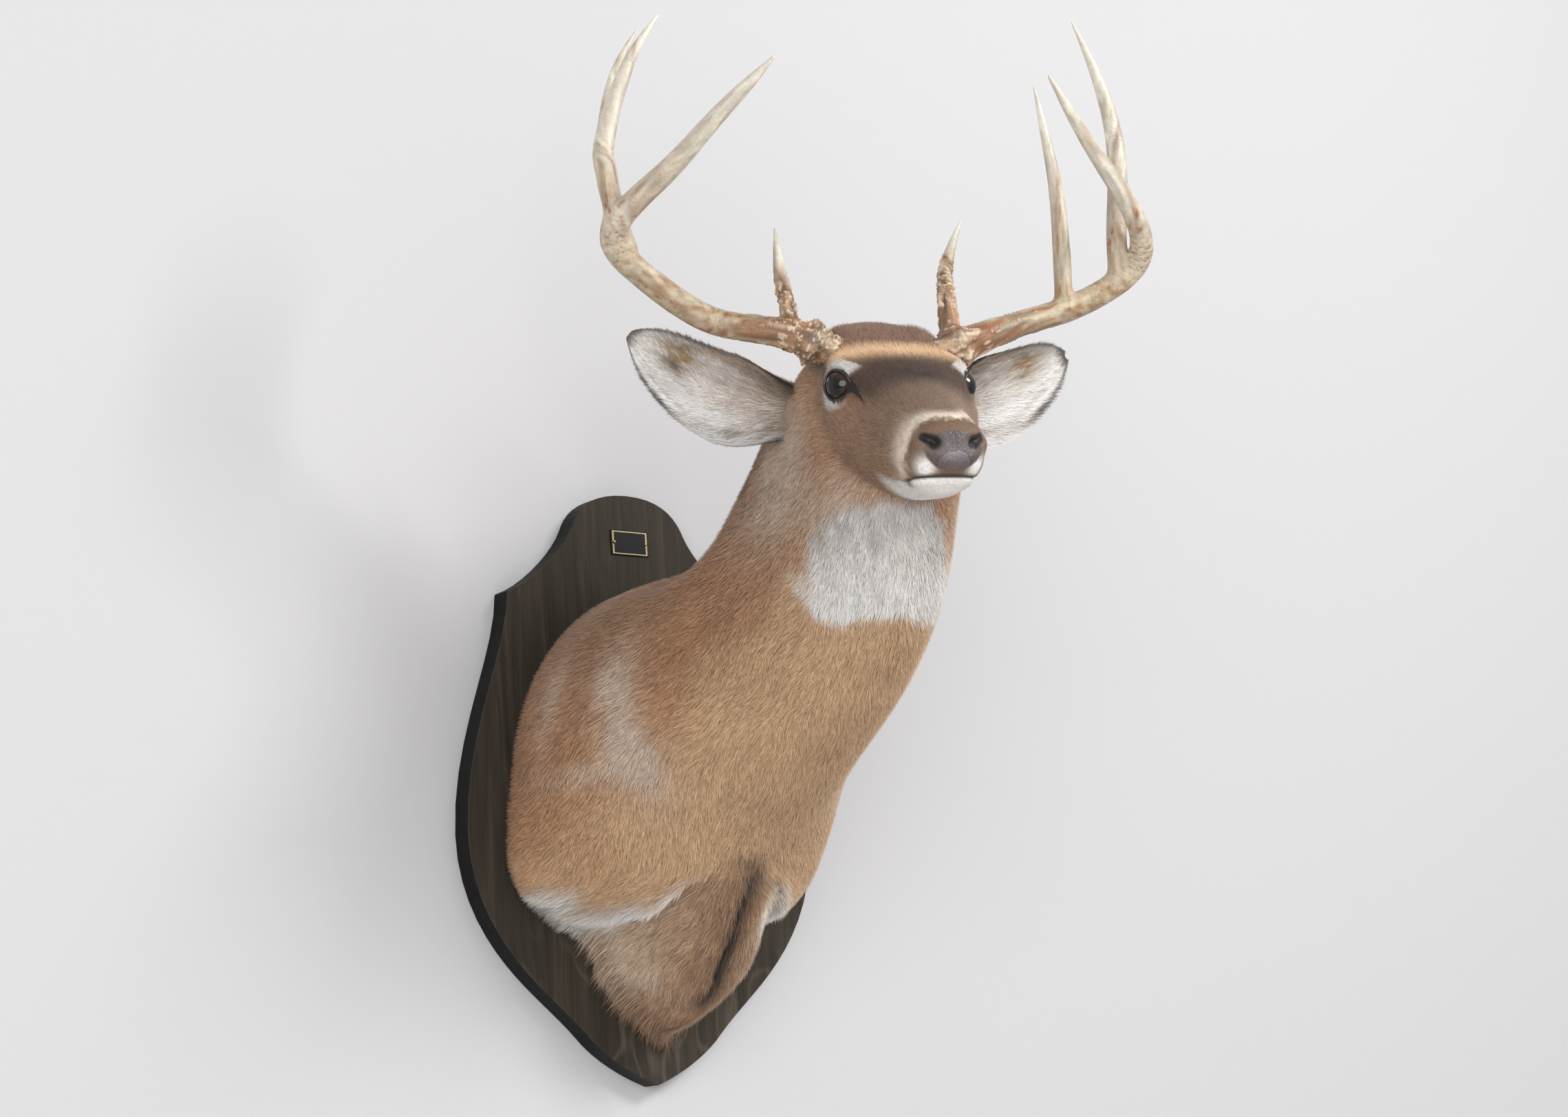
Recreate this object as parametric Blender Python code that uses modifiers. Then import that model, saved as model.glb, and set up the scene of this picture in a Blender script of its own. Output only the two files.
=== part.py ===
"""Deer shoulder mount: a white-tailed buck's head, neck and shoulders on a shield-shaped wall board.

Metres, +Z up.  The origin is the middle of the board's back face, which lies on the wall (y = 0).
The animal looks out along -Y, with its head turned towards -X.  "Left" and "right" are the deer's own.
"""

import math

import bmesh
import bpy
import numpy as np
from mathutils import Matrix, Vector

GAP = 0.0003  # clearance between neighbouring solids

# Board: a shield with a round lobe on top and an ogee point below.
BOARD_THICKNESS = 0.024
BOARD_TOP = 0.300
BOARD_WAIST = 0.2114  # greatest half-width
BOARD_CORNER = (0.152, 0.191)
BOARD_EDGE_ROUND = 0.004
# Half outline: point, incoming handle, outgoing handle, each (x, z), from the top down to the tip.
BOARD_KNOTS = (
    ((0.0, BOARD_TOP), (-0.045, BOARD_TOP), (0.045, BOARD_TOP)),
    ((0.070, 0.262), (0.062, 0.281), (0.080, 0.240)),
    (BOARD_CORNER, (0.118, 0.203), (0.154, 0.130)),
    ((BOARD_WAIST, -0.052), (BOARD_WAIST, 0.045), (BOARD_WAIST, -0.125)),
    ((0.1396, -0.1986), (0.168, -0.172), (0.119, -0.2175)),
    ((0.080, -0.252), (0.098, -0.2335), (0.066, -0.2675)),
    ((0.0, -BOARD_TOP), (0.036, -0.2875), (-0.036, -0.2875)),
)

PLATE_WIDTH = 0.047
PLATE_HEIGHT = 0.026
PLATE_THICKNESS = 0.0015
PLATE_HEIGHT_ON_BOARD = 0.250
PIN_RADIUS = 0.0016

# Head frame: f forward along the face, l towards the deer's left, u up out of the forehead.
EYE_MIDDLE = Vector((0.0, -0.4617, 0.3121))
HEAD_TURN = math.radians(22.3)
HEAD_NOD = math.radians(31.3)

# The mid-line of trunk and neck, in the wall's (y, z): top line, under line, then the section's shape:
# half-width, how much wider it is above than below, roundness above and below (2 is an ellipse).
TRUNK_SECTIONS = (
    ((-0.0243, 0.193), (-0.0243, -0.252), 0.163, 0.02, 1.85, 1.22),  # edge of the hide on the board
    ((-0.052, 0.195), (-0.082, -0.246), 0.171, 0.02, 1.90, 1.30),
    ((-0.084, 0.196), (-0.128, -0.215), 0.172, 0.00, 1.95, 1.45),  # shoulders
    ((-0.115, 0.199), (-0.166, -0.155), 0.160, -0.03, 2.00, 1.65),
    ((-0.143, 0.204), (-0.202, -0.100), 0.144, -0.06, 2.00, 1.85),  # brisket
    ((-0.168, 0.213), (-0.246, -0.062), 0.127, -0.08, 2.00, 1.95),
    ((-0.191, 0.228), (-0.300, -0.024), 0.114, -0.08, 2.00, 2.00),  # foot of the neck
    ((-0.210, 0.248), (-0.353, 0.014), 0.104, -0.06, 2.00, 2.00),
    ((-0.219, 0.277), (-0.402, 0.057), 0.095, -0.04, 2.00, 2.00),
    ((-0.225, 0.311), (-0.437, 0.103), 0.089, -0.02, 2.00, 2.05),  # middle of the neck
    ((-0.238, 0.347), (-0.458, 0.148), 0.085, 0.00, 2.00, 2.10),
    ((-0.272, 0.376), (-0.470, 0.178), 0.081, 0.00, 2.00, 2.10),
    ((-0.327, 0.390), (-0.478, 0.192), 0.075, 0.00, 2.05, 2.10),  # nape, behind the ears
)
# The head's sections fan round the corner of jaw and throat: top and under points in (f, u).
HEAD_SECTIONS = (
    ((-0.112, 0.030), (0.076, -0.0850), 0.070, 0.05, 2.2, 2.1),  # back of the skull
    ((-0.080, 0.037), (0.081, -0.0838), 0.069, 0.10, 2.6, 2.1),
    ((-0.050, 0.037), (0.087, -0.0820), 0.068, 0.16, 2.8, 2.1),  # crown, between the antlers
    ((-0.018, 0.034), (0.094, -0.0795), 0.067, 0.20, 2.8, 2.1),  # brow
    ((0.012, 0.031), (0.101, -0.0770), 0.062, 0.20, 2.6, 2.1),
    ((0.042, 0.028), (0.108, -0.0745), 0.055, 0.16, 2.4, 2.1),  # tear groove
    ((0.070, 0.026), (0.115, -0.0715), 0.048, 0.10, 2.1, 2.1),
    ((0.096, 0.0245), (0.122, -0.0690), 0.042, 0.04, 2.1, 2.2),  # bridge of the nose
    ((0.118, 0.0230), (0.130, -0.0660), 0.038, 0.00, 2.1, 2.3),
    ((0.136, 0.022), (0.139, -0.0620), 0.036, 0.00, 2.2, 2.3),  # muzzle
    ((0.151, 0.019), (0.148, -0.0565), 0.0345, 0.02, 2.3, 2.3),
    ((0.163, 0.0135), (0.156, -0.0495), 0.031, 0.06, 2.3, 2.2),  # nose pad
    ((0.171, 0.005), (0.163, -0.0400), 0.025, 0.08, 2.2, 2.1),
    ((0.1755, -0.006), (0.168, -0.0300), 0.015, 0.00, 2.0, 2.0),
)
# The head's turn grows over the neck, between these two sections.
TURN_STARTS, TURN_ENDS = 5.0, 12.0

# Swellings and hollows: centre (f, l, u), reach in each of those directions, height.
HEAD_FORMS = (
    ("brow", (0.000, 0.062, 0.022), (0.022, 0.018, 0.010), 0.0050),
    ("below_eye", (0.012, 0.062, -0.020), (0.024, 0.018, 0.009), 0.0030),
    ("tear_groove", (0.045, 0.050, -0.006), (0.016, 0.020, 0.008), -0.0040),
    ("temple", (-0.045, 0.066, 0.012), (0.020, 0.020, 0.016), -0.0040),
    ("cheek", (0.020, 0.060, -0.055), (0.035, 0.030, 0.022), 0.0060),
    ("jaw_corner", (-0.035, 0.065, -0.080), (0.025, 0.030, 0.022), 0.0060),
    ("nostril", (0.158, 0.026, 0.000), (0.012, 0.014, 0.012), 0.0030),
    ("lip", (0.140, 0.034, -0.026), (0.018, 0.016, 0.012), 0.0030),
    ("lip_corner", (0.118, 0.036, -0.046), (0.014, 0.014, 0.008), -0.0030),
    ("ear_root", (-0.088, 0.070, -0.030), (0.026, 0.040, 0.030), 0.0080),
)
# The same for the trunk, in wall coordinates (x, y, z).
TRUNK_FORMS = (
    ("shoulder_point", (0.110, -0.130, -0.020), (0.060, 0.060, 0.080), 0.0060),
    ("shoulder_blade", (0.130, -0.070, 0.070), (0.060, 0.060, 0.080), 0.0040),
    ("armpit", (0.095, -0.110, -0.165), (0.050, 0.050, 0.030), -0.0160),
    ("elbow_hair", (0.150, -0.040, -0.092), (0.060, 0.055, 0.046), 0.0360),
    ("side_of_withers", (0.055, -0.180, 0.210), (0.036, 0.045, 0.040), -0.0240),
)

# Along the loft, sections are counted from 0 at the board to 26 at the nose.
CHEST_END, NECK_END, HEAD_END = 5.0, 12.0, 21.0
LAST_SECTION = len(TRUNK_SECTIONS) + len(HEAD_SECTIONS) - 1

EYE_RADIUS = 0.0170
EYE_CENTRE = (0.007, 0.0555, 0.003)

EAR_ROOT = (-0.086, 0.052, -0.050)
EAR_BEND = (-0.116, 0.146, -0.042)
EAR_TIPS = {"right": (-0.158, 0.224, 0.003), "left": (-0.158, 0.227, -0.015)}
EAR_UPPER_WIDTH = 0.042  # from the centre line to each margin
EAR_LOWER_WIDTH = 0.050
EAR_DEPTH = 0.026
EAR_THICKNESS = 0.0040

# Antlers, in the head frame with l measured outwards: centre line and radius.
RIGHT_BEAM = (
    ((-0.046, 0.036, 0.010), 0.0125),
    ((-0.050, 0.073, 0.029), 0.0150),
    ((-0.066, 0.122, 0.036), 0.0130),
    ((-0.085, 0.170, 0.042), 0.0128),
    ((-0.100, 0.230, 0.079), 0.0125),
    ((-0.098, 0.258, 0.122), 0.0122),
    ((-0.088, 0.217, 0.177), 0.0105),
    ((-0.078, 0.182, 0.225), 0.0085),
    ((-0.072, 0.152, 0.263), 0.0062),
    ((-0.068, 0.128, 0.293), 0.0012),
)
LEFT_BEAM = (
    ((-0.045, 0.030, 0.012), 0.0125),
    ((-0.050, 0.071, 0.025), 0.0150),
    ((-0.066, 0.135, 0.043), 0.0122),
    ((-0.085, 0.189, 0.053), 0.0122),
    ((-0.098, 0.240, 0.074), 0.0120),
    ((-0.098, 0.266, 0.110), 0.0112),
    ((-0.091, 0.243, 0.158), 0.0095),
    ((-0.083, 0.209, 0.198), 0.0080),
    ((-0.075, 0.172, 0.242), 0.0056),
    ((-0.069, 0.139, 0.284), 0.0012),
)
RIGHT_TINES = {
    "brow_tine": (
        ((-0.060, 0.090, 0.034), 0.0095),
        ((-0.080, 0.092, 0.058), 0.0075),
        ((-0.105, 0.093, 0.079), 0.0062),
        ((-0.147, 0.090, 0.113), 0.0010),
    ),
    "second_tine": (
        ((-0.102, 0.243, 0.103), 0.0105),
        ((-0.130, 0.255, 0.141), 0.0095),
        ((-0.165, 0.257, 0.179), 0.0082),
        ((-0.208, 0.243, 0.238), 0.0052),
        ((-0.238, 0.215, 0.282), 0.0010),
    ),
    "third_tine": (
        ((-0.096, 0.258, 0.128), 0.0115),
        ((-0.128, 0.262, 0.166), 0.0102),
        ((-0.152, 0.260, 0.195), 0.0095),
        ((-0.192, 0.234, 0.255), 0.0062),
        ((-0.220, 0.200, 0.300), 0.0010),
    ),
}
LEFT_TINES = {
    "brow_tine": (
        ((-0.060, 0.066, 0.034), 0.0090),
        ((-0.090, 0.067, 0.075), 0.0072),
        ((-0.118, 0.077, 0.096), 0.0055),
        ((-0.147, 0.096, 0.124), 0.0010),
    ),
    "second_tine": (
        ((-0.085, 0.188, 0.056), 0.0115),
        ((-0.115, 0.190, 0.106), 0.0085),
        ((-0.145, 0.189, 0.157), 0.0070),
        ((-0.172, 0.184, 0.198), 0.0048),
        ((-0.200, 0.175, 0.247), 0.0010),
    ),
    "third_tine": (
        ((-0.098, 0.245, 0.082), 0.0120),
        ((-0.122, 0.247, 0.128), 0.0100),
        ((-0.160, 0.253, 0.191), 0.0092),
        ((-0.195, 0.240, 0.253), 0.0058),
        ((-0.220, 0.214, 0.308), 0.0010),
    ),
}
# Where along each beam (0 at the skull, 9 at the tip) the second and third tines stand.
RIGHT_FORKS = (4.35, 5.15)
LEFT_FORKS = (3.05, 4.35)
BURR_AT, BURR_LENGTH, BURR_HEIGHT = 1.0, 0.16, 0.008
BEAM_KNOT_SPACING = 0.040

COLOURS = {  # name: base colour, roughness, metallic
    "stained_wood": ((0.030, 0.024, 0.019), 0.45, 0.0),
    "black_plate": ((0.010, 0.010, 0.010), 0.30, 0.6),
    "brass_pin": ((0.50, 0.36, 0.14), 0.35, 1.0),
    "hide": ((0.34, 0.20, 0.11), 0.90, 0.0),
    "antler_bone": ((0.55, 0.40, 0.24), 0.50, 0.0),
    "glass_eye": ((0.010, 0.008, 0.006), 0.05, 0.0),
}


# ---------------------------------------------------------------- scene and materials


def clear_scene():
    for old in list(bpy.data.objects):
        bpy.data.objects.remove(old, do_unlink=True)


def new_collection(name, hidden=False):
    collection = bpy.data.collections.new(name)
    bpy.context.scene.collection.children.link(collection)
    collection.hide_render = hidden
    return collection


def make_material(name):
    colour, roughness, metallic = COLOURS[name]
    material = bpy.data.materials.new(name)
    material.use_nodes = True
    shader = material.node_tree.nodes["Principled BSDF"]
    shader.inputs["Base Color"].default_value = (*colour, 1.0)
    shader.inputs["Roughness"].default_value = roughness
    shader.inputs["Metallic"].default_value = metallic
    return material


def add_object(name, mesh, collection, material=None):
    obj = bpy.data.objects.new(name, mesh)
    collection.objects.link(obj)
    if material is not None:
        mesh.materials.append(MATERIALS[material])
    return obj


def add_cutter(name, mesh):
    obj = add_object(name, mesh, CUTTERS)
    obj.hide_render = True
    obj.display_type = "WIRE"
    return obj


def cut(obj, *cutters):
    for cutter in cutters:
        boolean = obj.modifiers.new("Cut " + cutter.name, "BOOLEAN")
        boolean.operation = "DIFFERENCE"
        boolean.solver = "EXACT"
        boolean.object = cutter


def smooth(mesh, angle=40):
    mesh.shade_smooth()
    mesh.set_sharp_from_angle(angle=math.radians(angle))


# ---------------------------------------------------------------- curves and lofts


def spline(values, at):
    """Natural cubic spline through rows of values, one per whole number, read at the numbers in `at`."""
    values = np.asarray(values, float)
    count = len(values)
    system = np.diag(np.full(count, 4.0)) + np.diag(np.ones(count - 1), 1) + np.diag(np.ones(count - 1), -1)
    system[0, :2] = (1.0, 0.0)
    system[-1, -2:] = (0.0, 1.0)
    bends = np.zeros_like(values)
    bends[1:-1] = 6.0 * (values[2:] - 2.0 * values[1:-1] + values[:-2])
    bends = np.linalg.solve(system, bends)
    at = np.clip(np.asarray(at, float), 0.0, count - 1.0)
    low = np.minimum(at.astype(int), count - 2)
    right = at - low
    left = 1.0 - right
    shape = (-1,) + (1,) * (values.ndim - 1)
    right, left = right.reshape(shape), left.reshape(shape)
    straight = left * values[low] + right * values[low + 1]
    return straight + ((left**3 - left) * bends[low] + (right**3 - right) * bends[low + 1]) / 6.0


def smooth_step(low, high, value):
    t = np.clip((value - low) / (high - low), 0.0, 1.0)
    return t * t * (3.0 - 2.0 * t)


def loft(name, rings):
    """A closed mesh through rings of points, with a fan from its middle closing each end."""
    count, around = rings.shape[:2]
    mesh = bpy.data.meshes.new(name)
    form = bmesh.new()
    grid = [[form.verts.new(point) for point in ring] for ring in rings]
    ends = [form.verts.new(rings[0].mean(axis=0)), form.verts.new(rings[-1].mean(axis=0))]
    for i in range(count - 1):
        for j in range(around):
            k = (j + 1) % around
            form.faces.new((grid[i][j], grid[i][k], grid[i + 1][k]))
            form.faces.new((grid[i][j], grid[i + 1][k], grid[i + 1][j]))
    for j in range(around):
        k = (j + 1) % around
        form.faces.new((ends[0], grid[0][k], grid[0][j]))
        form.faces.new((ends[1], grid[-1][j], grid[-1][k]))
    bmesh.ops.recalc_face_normals(form, faces=form.faces)
    form.to_mesh(mesh)
    form.free()
    smooth(mesh)
    return mesh


def path_direction(knots, at):
    """Unit direction of the spline through the knots, from a short step either way."""
    step = np.array(spline(knots, at + 0.01)) - spline(knots, at - 0.01)
    return step / np.linalg.norm(step, axis=1)[:, None]


def sweep(points, ahead, radii, around, reference):
    """Rings of the given radii square to a path, each starting from the same reference direction."""
    side = reference - ahead * (ahead @ reference)[:, None]
    side /= np.linalg.norm(side, axis=1)[:, None]
    up = np.cross(ahead, side)
    angles = np.linspace(0.0, 2.0 * math.pi, around, endpoint=False)[None, :, None]
    spokes = np.cos(angles) * side[:, None] + np.sin(angles) * up[:, None]
    return points[:, None] + radii[:, None, None] * spokes


# ---------------------------------------------------------------- the head frame


def head_axes():
    """Rows: forward along the face, towards the deer's left, up out of the forehead."""
    across = np.array((math.cos(HEAD_TURN), -math.sin(HEAD_TURN), 0.0))
    level = np.array((-math.sin(HEAD_TURN), -math.cos(HEAD_TURN), 0.0))
    forward = level * math.cos(HEAD_NOD) - np.array((0.0, 0.0, math.sin(HEAD_NOD)))
    return np.array((forward, across, np.cross(forward, across)))


HEAD_AXES = head_axes()


def from_head(points, side=1.0):
    """Head-frame points (f, l, u) in wall coordinates; side -1 puts them on the deer's right."""
    points = np.asarray(points, float) * (1.0, side, 1.0)
    return np.array(EYE_MIDDLE) + points @ HEAD_AXES


def head_section_in_profile(point):
    """A head-frame (f, u) on the mid-line, in the straight profile's (y, z), before the head turns."""
    forward, up = point
    level = forward * math.cos(HEAD_NOD) + up * math.sin(HEAD_NOD)
    height = up * math.cos(HEAD_NOD) - forward * math.sin(HEAD_NOD)
    return (EYE_MIDDLE.y - level, EYE_MIDDLE.z + height)


# ---------------------------------------------------------------- the animal's outer form


def section_table():
    rows = [(*top, *low, *shape) for top, low, *shape in TRUNK_SECTIONS]
    for top, low, *shape in HEAD_SECTIONS:
        rows.append((*head_section_in_profile(top), *head_section_in_profile(low), *shape))
    return np.array(rows)


def swell(points, outward, forms, origin, axes):
    """Moves points along `outward` by the sum of the named swellings, mirrored on both sides."""
    local = (points - origin) @ axes.T
    across = 1 if axes is HEAD_AXES else 0
    height = np.zeros(points.shape[:-1])
    for _, centre, reach, amount in forms:
        for side in (1.0, -1.0):
            middle = np.array(centre)
            middle[across] *= side
            height += amount * np.exp(-(((local - middle) / reach) ** 2).sum(axis=-1))
    return points + outward * height[..., None]


def body_rings(sections, around, grow=0.0):
    """Rings of the hide's surface at the given section numbers.

    Each ring is a superellipse between a point of the top line and one of the under line.  Its
    half-width is skewed to be wider above or below.  The head's turn is a rotation about an upright
    line between the eyes, which fades out down the neck.
    """
    table = spline(section_table(), sections)
    top, low = table[:, 0:2], table[:, 2:4]
    middle, half = (top + low) / 2.0, (top - low) / 2.0
    reach = np.linalg.norm(half, axis=1)
    up = half / reach[:, None]
    angle = np.linspace(-math.pi, math.pi, around, endpoint=False)
    cosine, sine = np.cos(angle), np.sin(angle)
    power = np.where(sine > 0.0, table[:, 6:7], table[:, 7:8])
    across = np.sign(cosine) * np.abs(cosine) ** (2.0 / power)
    along = np.sign(sine) * np.abs(sine) ** (2.0 / power)
    x = (table[:, 4:5] + grow) * across * (1.0 + table[:, 5:6] * along)
    lift = (reach[:, None] + grow) * along
    y = middle[:, 0:1] + up[:, 0:1] * lift
    z = middle[:, 1:2] + up[:, 1:2] * lift
    points = np.stack([x, y, z], axis=-1)
    outward = points - np.stack([0 * x, middle[:, 0:1] + 0 * x, middle[:, 1:2] + 0 * x], axis=-1)
    outward /= np.linalg.norm(outward, axis=-1)[..., None] + 1e-9
    points = swell(points, outward, TRUNK_FORMS, np.zeros(3), np.eye(3))
    turn = HEAD_TURN * smooth_step(TURN_STARTS, TURN_ENDS, np.asarray(sections))[:, None]
    points, outward = turned(points, turn), turned(outward, turn, pivot=(0.0, 0.0))
    return swell(points, outward, HEAD_FORMS, np.array(EYE_MIDDLE), HEAD_AXES)


def turned(points, turn, pivot=(0.0, EYE_MIDDLE.y)):
    x, y = points[..., 0] - pivot[0], points[..., 1] - pivot[1]
    cosine, sine = np.cos(turn), np.sin(turn)
    across, back = pivot[0] + cosine * x + sine * y, pivot[1] - sine * x + cosine * y
    return np.stack([across, back, points[..., 2]], axis=-1)


def body_part(name, start, end, steps, around, gap_at_start=True, gap_at_end=True):
    """One named length of the body and, as a cutter, the same length grown by the clearance.

    Half the clearance is taken off each end that meets a neighbour.
    """
    sections = np.linspace(start, end, steps)
    for index, other, wanted in ((0, 1, gap_at_start), (-1, -2, gap_at_end)):
        if not wanted:
            continue
        centres = spline(section_table(), sections[[index, other]])[:, :4]
        spacing = np.linalg.norm((centres[0] - centres[1]).reshape(2, 2).mean(axis=0))
        sections[index] += (sections[other] - sections[index]) * GAP / 2.0 / spacing
    seat = add_cutter(f"{name}_seat", loft(name, body_rings(sections, around, GAP)))
    return add_object(name, loft(name, body_rings(sections, around)), PARTS, "hide"), seat


# ---------------------------------------------------------------- board


def build_board():
    """The shield as a filled Bezier outline given a thickness, its edges rounded."""
    curve = bpy.data.curves.new("board_outline", "CURVE")
    curve.dimensions = "2D"
    curve.fill_mode = "BOTH"
    curve.resolution_u = 9
    curve.extrude = BOARD_THICKNESS / 2.0
    right = list(BOARD_KNOTS)
    left = [((-p[0], p[1]), (-o[0], o[1]), (-i[0], i[1])) for p, i, o in BOARD_KNOTS[-2:0:-1]]
    outline = curve.splines.new("BEZIER")
    outline.bezier_points.add(len(right + left) - 1)
    for knot, (point, before, after) in zip(outline.bezier_points, right + left):
        knot.handle_left_type = knot.handle_right_type = "FREE"
        knot.co = (*point, 0.0)
        knot.handle_left = (*before, 0.0)
        knot.handle_right = (*after, 0.0)
    outline.use_cyclic_u = True
    guide = bpy.data.objects.new("board_outline", curve)
    PARTS.objects.link(guide)
    guide.rotation_euler = (math.radians(90), 0.0, 0.0)
    guide.location = (0.0, -BOARD_THICKNESS / 2.0, 0.0)
    board = mesh_of(guide, "board", "stained_wood")
    bevel = board.modifiers.new("Rounded edge", "BEVEL")
    bevel.width = BOARD_EDGE_ROUND
    bevel.segments = 3
    bevel.limit_method = "ANGLE"
    bevel.angle_limit = math.radians(60)
    return board


def mesh_of(guide, name, material):
    """A curve object as a welded mesh object in world coordinates; the curve is removed."""
    bpy.context.view_layer.update()
    graph = bpy.context.evaluated_depsgraph_get()
    mesh = bpy.data.meshes.new_from_object(guide.evaluated_get(graph))
    mesh.transform(guide.matrix_world)
    bpy.data.objects.remove(guide, do_unlink=True)
    form = bmesh.new()
    form.from_mesh(mesh)
    bmesh.ops.remove_doubles(form, verts=form.verts, dist=0.00005)
    bmesh.ops.recalc_face_normals(form, faces=form.faces)
    form.to_mesh(mesh)
    form.free()
    mesh.name = name
    mesh.materials.clear()
    smooth(mesh)
    return add_object(name, mesh, PARTS, material)


def build_plate():
    """The small name plate, left bare, and its two round-headed pins."""
    bpy.ops.mesh.primitive_cube_add(size=1.0)
    plate = bpy.context.active_object
    plate.name = plate.data.name = "name_plate"
    plate.scale = (PLATE_WIDTH, PLATE_THICKNESS, PLATE_HEIGHT)
    plate.location = (0.0, -BOARD_THICKNESS - GAP - PLATE_THICKNESS / 2.0, PLATE_HEIGHT_ON_BOARD)
    bpy.ops.object.transform_apply(location=False, rotation=False, scale=True)
    bevel = plate.modifiers.new("Soft edges", "BEVEL")
    bevel.width = 0.0004
    bevel.segments = 2
    move_to(plate, PARTS, "black_plate")
    face = -BOARD_THICKNESS - GAP - PLATE_THICKNESS
    for side, label in ((-1.0, "right"), (1.0, "left")):
        bpy.ops.mesh.primitive_uv_sphere_add(segments=12, ring_count=8, radius=PIN_RADIUS)
        pin = bpy.context.active_object
        pin.name = pin.data.name = f"plate_pin_{label}"
        pin.scale = (1.0, 0.45, 1.0)
        pin.location = (
            side * (PLATE_WIDTH / 2.0 - 0.004),
            face - GAP / 3.0 - PIN_RADIUS * 0.45,
            PLATE_HEIGHT_ON_BOARD,
        )
        pin.data.shade_smooth()
        move_to(pin, PARTS, "brass_pin")


def move_to(obj, collection, material):
    for old in list(obj.users_collection):
        old.objects.unlink(obj)
    collection.objects.link(obj)
    obj.data.materials.clear()
    obj.data.materials.append(MATERIALS[material])


# ---------------------------------------------------------------- eyes, ears and antlers


def build_eye(label, side):
    """A glass eye and the cutter for its socket."""
    centre = Vector(from_head(EYE_CENTRE, side))
    made = []
    for name, radius in ((f"eye_{label}", EYE_RADIUS), (f"socket_{label}", EYE_RADIUS + GAP)):
        bpy.ops.mesh.primitive_uv_sphere_add(segments=20, ring_count=12, radius=radius, location=centre)
        ball = bpy.context.active_object
        ball.name = ball.data.name = name
        ball.data.shade_smooth()
        made.append(ball)
    move_to(made[0], PARTS, "glass_eye")
    move_to(made[1], CUTTERS, "glass_eye")
    made[1].hide_render = True
    made[1].display_type = "WIRE"
    return made[1]


def ear_surface(label, side, along, across):
    """The ear's cupped sheet.  Its margins lie on a leaf outline about a bent centre line.

    Each cross-section is half an ellipse, open to the front, which grows shallower towards the tip.
    """
    knots = [EAR_ROOT, EAR_BEND, EAR_TIPS[label]]
    path = spline(knots, 2.0 * along)
    ahead = path_direction(knots, 2.0 * along)
    facing = np.array((0.94, 0.24, 0.24))
    facing = facing - ahead * (ahead @ facing)[:, None]
    facing /= np.linalg.norm(facing, axis=1)[:, None]
    over = np.cross(facing, ahead)
    opening = 0.45 + 0.55 * smooth_step(0.0, 0.45, along)
    upper = EAR_UPPER_WIDTH * opening * (1.0 - along**3.4) ** 0.60
    lower = EAR_LOWER_WIDTH * opening * (1.0 - along**2.0) ** 0.80
    half = np.where(across[None, :] > 0.0, upper[:, None], lower[:, None])
    half = np.maximum(half, 0.0015)
    roll = np.radians(85.0 - 35.0 * smooth_step(0.0, 0.9, along))[:, None]
    arc = roll * across[None, :]
    sideways = half * np.sin(arc) / np.sin(roll)
    hollow = EAR_DEPTH * (1.0 - 0.85 * along**1.5)[:, None]
    depth = hollow * (np.cos(roll) - np.cos(arc)) / (1.0 - np.cos(roll))
    grid = path[:, None] + over[:, None] * sideways[..., None] + facing[:, None] * depth[..., None]
    return from_head(grid, side)


def build_ear(label, side, seats):
    along, across = np.linspace(0.0, 1.0, 17), np.linspace(-1.0, 1.0, 11)
    grid = ear_surface(label, side, along, across)
    mesh = bpy.data.meshes.new(f"ear_{label}")
    form = bmesh.new()
    verts = [[form.verts.new(point) for point in row] for row in grid]
    for i in range(len(along) - 1):
        for j in range(len(across) - 1):
            corners = (verts[i][j], verts[i][j + 1], verts[i + 1][j + 1], verts[i + 1][j])
            form.faces.new(corners if side > 0 else corners[::-1])
    form.to_mesh(mesh)
    form.free()
    smooth(mesh)
    ear = add_object(f"ear_{label}", mesh, PARTS, "hide")
    wall = ear.modifiers.new("Thickness", "SOLIDIFY")
    wall.thickness = EAR_THICKNESS
    wall.offset = 0.0
    cut(ear, *seats)


def branch_rings(knots, side, places, around, reference, thicker):
    """Rings of a beam or a tine at the given places along its knots; the radii grow by `thicker`."""
    rows = np.array([(*from_head(point, side), radius) for point, radius in knots])
    values = spline(rows, places)
    radii = np.maximum(values[:, 3], 0.001) + thicker
    return sweep(values[:, :3], path_direction(rows[:, :3], places), radii, around, reference)


def tine_rings(knots, side, grow=0.0):
    return branch_rings(knots, side, np.linspace(0.0, len(knots) - 1.0, 13), 10, HEAD_AXES[1], grow)


def beam_rings(knots, side, places, grow=0.0):
    """Rings of a main beam, with the rough collar of the burr standing out near its foot."""
    collar = BURR_HEIGHT * np.exp(-(((places - BURR_AT) / BURR_LENGTH) ** 2))
    return branch_rings(knots, side, places, 12, HEAD_AXES[0], collar + grow)


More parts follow.
